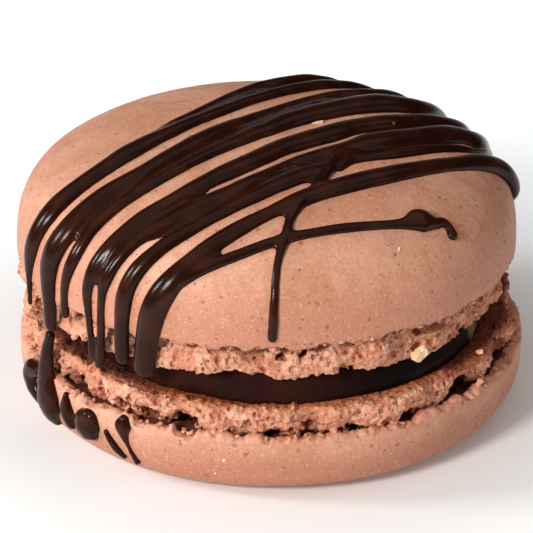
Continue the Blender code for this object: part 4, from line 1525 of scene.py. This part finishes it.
@dataclass
class Drizzle:
    """The poured strands that cross the top shell, from their front drips to their rear ones.

    A strand's points are (right, back, width) in mm on the flattened shell, with a fourth value where
    it is raised over another. An end's points are (bearing in degrees, mm past the rim, width in mm).
    """

    rope: Rope = Rope()
    grid: float = 0.14 * MM
    most_triangles: int = 190_000
    webs = (
        Web("first", "second", -13.0, 4.0),
        Web("third", "fourth", -15.4, 11.0),
        Web("fifth", "sixth", -16.6, -5.5, 0.75),
        Web("seventh", "sixth", -9.8, 6.0, 0.6),
    )

    strands = {
        "first": [(-13.6, -3.9, 0.5), (-11.5, -1.6, 0.9), (-9.4, 1.1, 1.0), (-6.8, 4.4, 1.0),
                  (-4.3, 7.5, 1.1), (-1.0, 11.4, 1.4, 0.1), (3.3, 14.9, 1.4, 0.35)],
        "second": [(-19.3, -8.6, 2.4), (-15.4, -6.2, 2.1), (-12.0, -2.9, 2.4), (-8.3, 0.8, 1.8),
                   (-4.7, 4.4, 1.6), (0.7, 9.7, 1.7), (4.5, 12.9, 1.9), (7.3, 15.1, 1.7)],
        "third": [(-17.4, -12.0, 2.6), (-13.6, -9.3, 2.2), (-11.0, -7.3, 1.8), (-8.3, -4.6, 1.9),
                  (-4.9, -0.9, 2.3), (-1.1, 3.1, 1.6), (2.8, 7.0, 1.1), (6.3, 9.8, 1.4),
                  (10.5, 12.5, 1.4, 0.15)],
        "fourth": [(-15.2, -13.3, 1.4), (-9.8, -9.1, 1.5), (-4.6, -4.1, 1.6), (-1.2, -0.8, 2.1),
                   (2.2, 2.5, 2.6), (6.0, 5.2, 2.8), (9.8, 7.8, 3.3), (13.1, 9.4, 2.9), (14.9, 11.0, 2.5)],
        "fifth": [(-11.5, -14.6, 1.7), (-8.0, -12.3, 1.9), (-4.8, -9.55, 2.1), (-1.5, -6.6, 2.4),
                  (2.0, -3.4, 2.5), (5.5, -0.5, 2.7), (7.7, 1.3, 2.4), (11.4, 3.5, 2.4), (14.0, 5.3, 2.2),
                  (17.8, 8.5, 2.0)],
        "sixth": [(-11.7, -16.7, 1.4), (-8.0, -15.0, 1.95), (-4.6, -12.95, 2.05), (-1.0, -9.9, 1.55),
                  (1.8, -7.4, 1.4), (4.4, -5.4, 1.75), (7.8, -3.3, 2.5), (9.5, -1.9, 3.1), (13.1, 0.6, 2.7),
                  (16.9, 3.7, 2.8), (19.3, 5.7, 2.5)],
        "seventh": [(-6.1, -16.2, 1.4), (-2.7, -13.8, 1.5), (0.7, -11.1, 1.9), (3.6, -8.9, 2.2),
                    (6.1, -6.9, 1.4), (8.1, -5.3, 1.1), (11.7, -3.2, 1.5), (15.4, -0.5, 1.3),
                    (19.8, 3.3, 0.7)],
        "eighth": [(-6.3, -19.7, 1.9), (-2.7, -17.1, 1.8), (0.8, -14.6, 1.6), (4.2, -12.2, 2.1),
                   (9.4, -8.6, 2.3), (13.0, -6.0, 2.1), (17.0, -2.7, 1.8), (20.8, 1.0, 2.3, 0.15),
                   (24.0, 3.4, 2.1, 0.3)],
        "ninth": [(-9.3, -21.9, 1.5), (-6.1, -20.9, 1.15), (-2.4, -19.7, 1.15), (1.1, -18.3, 1.1),
                  (6.4, -16.5, 1.1), (11.8, -14.5, 1.1), (13.7, -13.3, 2.6), (15.2, -12.9, 1.3),
                  (15.9, -12.3, 0.9), (16.6, -12.6, 0.9), (17.1, -13.3, 1.2)],
        "crossing": [(14.9, 2.2, 0.9), (12.9, 0.7, 1.2, 0.1), (11.1, -0.4, 1.4, 0.15),
                     (9.3, -1.4, 1.6, 0.15), (8.0, -2.6, 1.6, 0.15), (7.0, -4.1, 1.5, 0.2),
                     (6.3, -5.8, 1.3, 0.22), (5.7, -7.6, 1.2, 0.22), (5.1, -9.3, 1.1, 0.1),
                     (4.3, -11.2, 1.0, 0.1), (3.6, -12.6, 1.1, 0.22), (2.8, -14.0, 1.2, 0.15),
                     (2.2, -15.6, 1.0), (1.7, -18.1, 0.85, 0.2), (1.0, -21.4, 0.8), (0.75, -27.4, 0.9)],
        "pool": [(8.4, -4.0, 1.4), (7.2, -5.3, 1.9), (6.4, -7.3, 1.2)],
    }
    front_ends = {
        "second": [(-157.6, 2.6, 0.5), (-157.4, 0.0, 0.8), (-156.4, -2.8, 2.0)],
        "third": [(-146.6, 2.8, 1.4), (-146.8, -0.6, 1.9), (-146.9, -3.4, 2.5)],
        "fourth": [(-140.6, 0.9, 0.9), (-140.8, -1.5, 1.0), (-139.3, -4.8, 1.5)],
        "fifth": [(-131.5, 3.6, 1.1), (-132.2, 2.2, 0.75), (-132.9, -0.7, 0.8), (-133.1, -3.4, 1.4)],
        "sixth": [(-129.7, 4.2, 1.0), (-129.3, 2.6, 0.9), (-129.1, -2.1, 0.9), (-128.6, -3.9, 1.35)],
        "seventh": [(-123.4, 2.9, 1.5), (-123.3, -0.9, 1.6), (-121.6, -5.0, 1.75)],
        "eighth": [(-117.8, 3.3, 2.1), (-116.4, -0.7, 2.4), (-113.7, -3.9, 2.5)],
    }
    rear_ends = {
        "first": [(66, -4.0, 1.1), (66, -1.6, 1.1)], "second": [(57, -2.4, 1.4), (57, 2.2, 1.4)],
        "third": [(50, -2.4, 1.3), (50, 0.6, 1.3)], "fourth": [(43, -2.4, 1.7), (43, 2.7, 1.7)],
        "fifth": [(36, -2.4, 1.6), (36, 1.2, 1.6)], "sixth": [(29, -2.4, 1.6), (29, 2.3, 1.6)],
        "seventh": [(24, -3.6, 1.2), (24, -1.2, 1.2)], "eighth": [(13, -1.6, 1.7), (15, 1.6, 1.5)],
    }

    def route(self, name: str, chart: DomeChart) -> np.ndarray:
        """A strand's smooth route from its front end to its rear one, as rows (right, back, width, lift)."""
        points = [chart.past_rim(*end) for end in self.front_ends.get(name, [])]
        points += [(*point, 0.0) if len(point) == 3 else point for point in self.strands[name]]
        points += [chart.past_rim(*end) for end in self.rear_ends.get(name, [])]
        return smooth_route(points) * MM

    def laid(self, name: str, rows: np.ndarray, chart: DomeChart) -> bpy.types.Object:
        """A bead on the dome along the rows of a route."""
        centres, normals = chart.place(rows[:, :2], rows[:, 3])
        return self.rope.lay(name, centres, normals, rows[:, 2])

    def web(self, web: Web, chart: DomeChart) -> bpy.types.Object:
        """The chocolate that fills the valley between two strands that ran together."""
        one, other = self.route(web.first, chart), self.route(web.second, chart)
        one = one[(one[:, 0] > web.start * MM) & (one[:, 0] < web.end * MM)]
        nearest = np.linalg.norm(one[:, None, :2] - other[None, :, :2], axis=2).argmin(1)
        rows = (one + other[nearest]) / 2
        apart = np.linalg.norm(one[:, :2] - other[nearest, :2], axis=1)
        gone = np.linspace(0, 1, len(one))
        body = eased(np.minimum(gone, 1 - gone), 0, web.fading)
        rows[:, 2] = np.clip(apart * web.breadth * body, web.least, web.most)
        rows[:, 3] -= (1 - body) * web.end_sunk
        return self.laid(f"{web.first}_{web.second}", rows, chart)

    def build(self, material: bpy.types.Material, chart: DomeChart) -> bpy.types.Object:
        """Make the strands, run them together where they touch and put them on the top shell."""
        beads = [self.laid(name, self.route(name, chart), chart) for name in self.strands]
        beads += [self.web(web, chart) for web in self.webs]
        drizzle = Bench.join("top_drizzle", beads)
        Bench.melt(drizzle, self.grid, softness=0.5, passes=8)
        Bench.modify(drizzle, "DISPLACE", strength=-self.rope.swollen, mid_level=0.0)
        Bench.thin_out(drizzle, self.most_triangles)
        Bench.modify(drizzle, "SMOOTH", factor=0.5, iterations=9)
        Bench.roughen(drizzle, Pattern.CLOUDS, size=2.6 * MM, reach=0.08 * MM, depth=0)
        TOP_STANCE.settle(drizzle)
        return Bench.hand_over(drizzle, material, Node.TOP)


@dataclass
class Runs:
    """Chocolate that ran on down the bottom shell: points (bearing in degrees, height in mm, width in mm)."""

    rope: Rope = Rope()
    grid: float = 0.14 * MM
    slope_step: float = 0.05 * MM
    sunk_share: float = 0.5

    routes = {
        "long": [(-149.5, 10.8, 0.9), (-151, 8.8, 1.4), (-151.5, 6.6, 2.1), (-150.5, 4.3, 3.0),
                 (-150.5, 2.9, 2.5), (-150, 1.9, 1.2)],
        "curl": [(-155.5, 5.9, 1.0), (-159.5, 5.4, 2.0), (-160.5, 4.6, 2.2), (-158.5, 3.5, 1.6),
                 (-154.5, 2.7, 0.9)],
        "leaf": [(-143.4, 6.0, 0.4), (-143.1, 4.5, 1.6), (-142, 3.0, 1.2)],
        "lobe_left": [(-137.9, 4.3, 1.7), (-137.3, 3.5, 1.9)],
        "lobe_right": [(-135.2, 4.9, 2.0), (-135.1, 4.0, 2.3), (-134.9, 3.3, 1.7)],
        "lobe_middle": [(-136.6, 4.6, 2.2), (-136.2, 3.8, 2.5), (-136.0, 3.2, 1.8)],
        "sliver": [(-130.2, 4.3, 0.4), (-128.0, 3.0, 0.8), (-125.5, 2.0, 0.4)],
        "tear": [(-124.7, 6.2, 0.9), (-125.0, 5.5, 1.7), (-124.8, 4.7, 1.0), (-124.1, 3.8, 0.4),
                 (-123.1, 2.8, 0.35), (-122.2, 1.9, 0.55)],
    }

    def run(self, name: str, cap: BottomCap) -> bpy.types.Object:
        """One run down the side."""
        rows = smooth_route(self.routes[name])
        bearing, height = np.radians(rows[:, 0]), rows[:, 1] * MM
        under, radius, over = (
            np.array([cap.outer_radius(float(level)) for level in height + step])
            for step in (-self.slope_step, 0.0, self.slope_step)
        )
        out = facing(bearing)
        centres = out * (radius + cap.wobble.at(bearing))[:, None] + UP * height[:, None]
        normals = out - UP * ((over - under) / (2 * self.slope_step))[:, None]
        normals /= np.linalg.norm(normals, axis=1)[:, None]
        return self.rope.lay(name, centres, normals, rows[:, 2] * MM)

    def build(self, material: bpy.types.Material, cap: BottomCap) -> bpy.types.Object:
        """Make the runs as one piece."""
        runs = Bench.join("bottom_runs", [self.run(name, cap) for name in self.routes])
        Bench.melt(runs, self.grid, softness=0.5, passes=6)
        Bench.modify(runs, "DISPLACE", strength=-self.sunk_share * self.rope.swollen, mid_level=0.0)
        Bench.roughen(runs, Pattern.CLOUDS, size=1.2 * MM, reach=0.1 * MM, depth=1)
        return Bench.hand_over(runs, material, Node.BOTTOM)


# Crumbs


class Bit(Enum):
    """What a crumb is a bit of, with its pale and its dark colour."""

    ALMOND = ("almond", display_colour(252, 228, 188), display_colour(236, 190, 136))
    CREAM = ("cream", display_colour(214, 166, 108), display_colour(184, 126, 78))
    SHELL = ("shell_crumb", display_colour(240, 192, 164), display_colour(208, 142, 112))
    PEEL = ("almond_peel", display_colour(124, 72, 58), display_colour(84, 44, 36))
    SUGAR = ("sugar", display_colour(250, 232, 216), display_colour(232, 196, 172))

    def finish(self) -> CrumbFinish:
        """The finish of such a bit."""
        return CrumbFinish(*self.value)


@dataclass(frozen=True)
class Crumb:
    """One loose crumb: an angular chip with worn edges, its place and radii in mm, its turn in degrees."""

    name: str
    bit: Bit
    node: Node
    place: tuple[float, float, float]
    radii: tuple[float, float, float]
    turn: tuple[float, float, float]
    roughness: float = 0.55
    worn_share: float = 0.25
    grid_share: float = 0.12
    grain_share: float = 0.6
    grain_reach: float = 0.3

    def build(self, material: bpy.types.Material) -> bpy.types.Object:
        """Make the crumb."""
        Bench.pick()
        bpy.ops.mesh.primitive_cube_add(size=2)
        crumb = Bench.name_new(self.name)
        draw = random.Random(self.name)

        def break_off(points: np.ndarray) -> np.ndarray:
            """The corners, each drawn in by a chance share of its own, at the crumb's size."""
            kept = [[draw.uniform(1 - self.roughness, 1.0) for _ in range(3)] for _ in points]
            return points * np.array(kept) * np.array(self.radii) * MM

        Bench.reshape(crumb, break_off)
        turn = Euler([math.radians(angle) for angle in self.turn])
        Bench.set_in_place(crumb, Vector(self.place) * MM, turn)
        least = min(self.radii) * MM
        Bench.modify(crumb, "BEVEL", width=self.worn_share * least, segments=2)
        Bench.melt(crumb, self.grid_share * least, softness=0.5, passes=1)
        Bench.roughen(crumb, Pattern.CLOUDS, size=self.grain_share * least, reach=self.grain_reach * least)
        return Bench.hand_over(crumb, material, self.node)


CRUMBS = [
    Crumb("almond_crumb", Bit.ALMOND, Node.TOP, (12.9, -17.2, 11.95), (1.15, 0.6, 0.65), (10, -30, 35)),
    Crumb("cream_crumb", Bit.CREAM, Node.TOP, (13.9, -15.85, 13.0), (0.8, 0.25, 0.6), (10, 15, 42)),
    Crumb("rear_crumb", Bit.SUGAR, Node.TOP, (4.2, 2.9, 24.75), (0.72, 0.3, 0.16), (0, -4, 4)),
    Crumb("side_crumb", Bit.PEEL, Node.TOP, (11.03, 2.3, 25.0), (0.16, 0.13, 0.13), (0, 0, -30)),
    Crumb("dome_flake", Bit.SUGAR, Node.TOP, (11.03, -16.35, 21.62), (0.1, 0.06, 0.24), (-35, 20, 10)),
    Crumb("foot_chip", Bit.SHELL, Node.BOTTOM, (12.95, -17.95, 8.75), (0.28, 0.2, 0.3), (0, 10, 30)),
    Crumb("rim_chip", Bit.ALMOND, Node.BOTTOM, (18.5, -11.6, 9.1), (0.32, 0.22, 0.2), (0, -10, 20)),
    Crumb("low_flake", Bit.SUGAR, Node.BOTTOM, (-4.15, -22.25, 4.05), (0.14, 0.08, 0.22), (0, 25, -10)),
    Crumb("low_grain", Bit.SUGAR, Node.BOTTOM, (-4.94, -21.82, 2.5), (0.13, 0.07, 0.12), (0, 0, -12)),
]


# Studio


@dataclass(frozen=True)
class Lamp:
    """A soft rectangular light that looks at the macaron."""

    name: str
    azimuth: float
    elevation: float
    distance: float
    size: float
    power: float
    tint: tuple[float, float, float] = (1.0, 1.0, 1.0)

    def build(self, target: Vector) -> bpy.types.Object:
        """Put the light up.

        Args:
            target: What it looks at.

        Returns:
            The light. Its azimuth is 0 in front, and grows towards the right.
        """
        around, up = math.radians(self.azimuth), math.radians(self.elevation)
        away = Vector((math.sin(around) * math.cos(up), -math.cos(around) * math.cos(up), math.sin(up)))
        bpy.ops.object.light_add(type="AREA", location=target + away * self.distance)
        lamp = bpy.context.active_object
        lamp.name = lamp.data.name = self.name
        lamp.data.shape = "SQUARE"
        lamp.data.size = self.size
        lamp.data.energy = self.power
        lamp.data.color = self.tint
        lamp.rotation_euler = (-away).to_track_quat("-Z", "Y").to_euler()
        return lamp


@dataclass
class Studio:
    """The pale sweep, the soft lights and the camera at the photograph's angle."""

    target: Vector = Vector((0, 0, 11 * MM))
    camera_distance: float = 0.4
    camera_elevation: float = math.radians(26.95)
    focal_pixels: float = 4398.0
    image_side: float = 533.0
    middle_across: float = 271.56
    middle_down: float = 273.46
    sensor: float = 36.0
    nearest: float = 0.01
    sky: float = 0.02
    paper_size: float = 4.0
    paper_cuts: int = 40
    paper_drop: float = 0.01 * MM
    bend_start: float = 1.2
    bend_radius: float = 0.5
    lamps = (
        Lamp("key", -37, 30, 0.5, 0.11, 2.05, (1.0, 0.97, 0.93)),
        Lamp("window", -88, 26, 0.5, 0.1, 1.1, (0.92, 1.0, 1.06)),
        Lamp("overhead", 0, 88, 0.5, 0.8, 1.1),
        Lamp("bounce", 62, 32, 0.5, 0.3, 0.22, (1.0, 0.8, 0.64)),
    )

    def camera(self) -> None:
        """Put the camera up."""
        back = Vector((0, -math.cos(self.camera_elevation), math.sin(self.camera_elevation)))
        bpy.ops.object.camera_add(location=self.target + back * self.camera_distance)
        camera = bpy.context.active_object
        camera.name = "photo_camera"
        camera.rotation_euler = (math.pi / 2 - self.camera_elevation, 0, 0)
        camera.data.sensor_width = self.sensor
        camera.data.lens = self.focal_pixels / self.image_side * self.sensor
        camera.data.shift_x = (self.image_side / 2 - self.middle_across) / self.image_side
        camera.data.shift_y = (self.middle_down - self.image_side / 2) / self.image_side
        camera.data.clip_start = self.nearest
        bpy.context.scene.camera = camera

    def sweep(self, finish: PaperFinish) -> None:
        """Lay the paper: a floor that curves up behind."""
        Bench.pick()
        bpy.ops.mesh.primitive_plane_add(size=self.paper_size, location=(0, 0, -self.paper_drop))
        paper = Bench.name_new("paper_sweep")
        bpy.ops.object.transform_apply(location=True, rotation=True, scale=True)
        with Bench.editing():
            bpy.ops.mesh.subdivide(number_cuts=self.paper_cuts)
        start, radius = self.bend_start, self.bend_radius

        def rise(points: np.ndarray) -> np.ndarray:
            """The sheet after it has curved up behind the macaron."""
            gone = np.maximum(points[:, 1] - start, 0.0)
            turn = np.minimum(gone / radius, math.pi / 2)
            back = np.where(gone > 0, start + radius * np.sin(turn), points[:, 1])
            up = radius * (1 - np.cos(turn)) + np.maximum(gone - radius * math.pi / 2, 0.0)
            return np.column_stack([points[:, 0], back, points[:, 2] + up])

        Bench.reshape(paper, rise)
        Bench.pick(paper)
        bpy.ops.object.shade_smooth()
        paper.data.materials.append(finish.material())

    def light(self) -> None:
        """Put the lamps up and set the light of the room."""
        for lamp in self.lamps:
            lamp.build(self.target)
        world = bpy.data.worlds.new("room")
        world.use_nodes = True
        room = next(node for node in world.node_tree.nodes if node.type == "BACKGROUND")
        room.inputs["Color"].default_value = (1.0, 1.0, 1.0, 1.0)
        room.inputs["Strength"].default_value = self.sky
        bpy.context.scene.world = world
        bpy.context.scene.view_settings.view_transform = "Standard"

    def build(self) -> None:
        """Set the studio up."""
        self.sweep(PaperFinish())
        self.light()
        self.camera()


def main() -> None:
    """Build the macaron's pieces in order, then the studio."""
    logging.basicConfig(level=logging.INFO, format="%(relativeCreated)6d ms  %(message)s")
    chocolate = ChocolateFinish("dark_chocolate").material()
    top, bottom = TopCap(), BottomCap()
    top_skin = ShellFinish(
        "top_shell_skin", axis_shift=TOP_STANCE.place.x, inner_radius=21.7 * MM, inner_from=15.9 * MM,
        inner_to=15.6 * MM, low_shade_from=22 * MM, low_shade_to=16 * MM, low_shade=0.7,
    )
    top.build(top_skin, TOP_FOOT)
    top_crumb = SpongeFinish(
        "top_foot_crumb", axis_shift=TOP_STANCE.place.x, skin_radius=21.75 * MM, soaked_from=12.2 * MM,
        soaked_to=11.3 * MM, soaked_radius=20.7 * MM, spread=-0.4 * MM,
    )
    TOP_FOOT.build(top_crumb.material(), TOP_STANCE)
    Drizzle().build(chocolate, DomeChart(top.section, top.wobble))
    ganache_skin = GanacheFinish(
        "ganache_skin", wet_level=9.5 * MM, dry_level=10.1 * MM, smear_place=(18.0 * MM, -9.4 * MM, 10.4 * MM)
    )
    Filling().build(ganache_skin)
    bottom_skin = ShellFinish(
        "bottom_shell_skin", axis_shift=0.0, inner_radius=22.0 * MM, inner_from=3.3 * MM,
        inner_to=3.6 * MM, low_shade_from=6 * MM, low_shade_to=3 * MM, low_shade=0.8,
    )
    bottom.build(bottom_skin, BOTTOM_FOOT)
    bottom_crumb = SpongeFinish(
        "bottom_foot_crumb", axis_shift=0.0, skin_radius=22.3 * MM, soaked_from=8.25 * MM,
        soaked_to=8.9 * MM, soaked_radius=21.9 * MM, spread=0.4 * MM,
    )
    BOTTOM_FOOT.build(bottom_crumb.material())
    Runs().build(chocolate, bottom)
    finishes = {bit: bit.finish().material() for bit in Bit}
    for crumb in CRUMBS:
        crumb.build(finishes[crumb.bit])
    Studio().build()


if __name__ == "__main__":
    main()
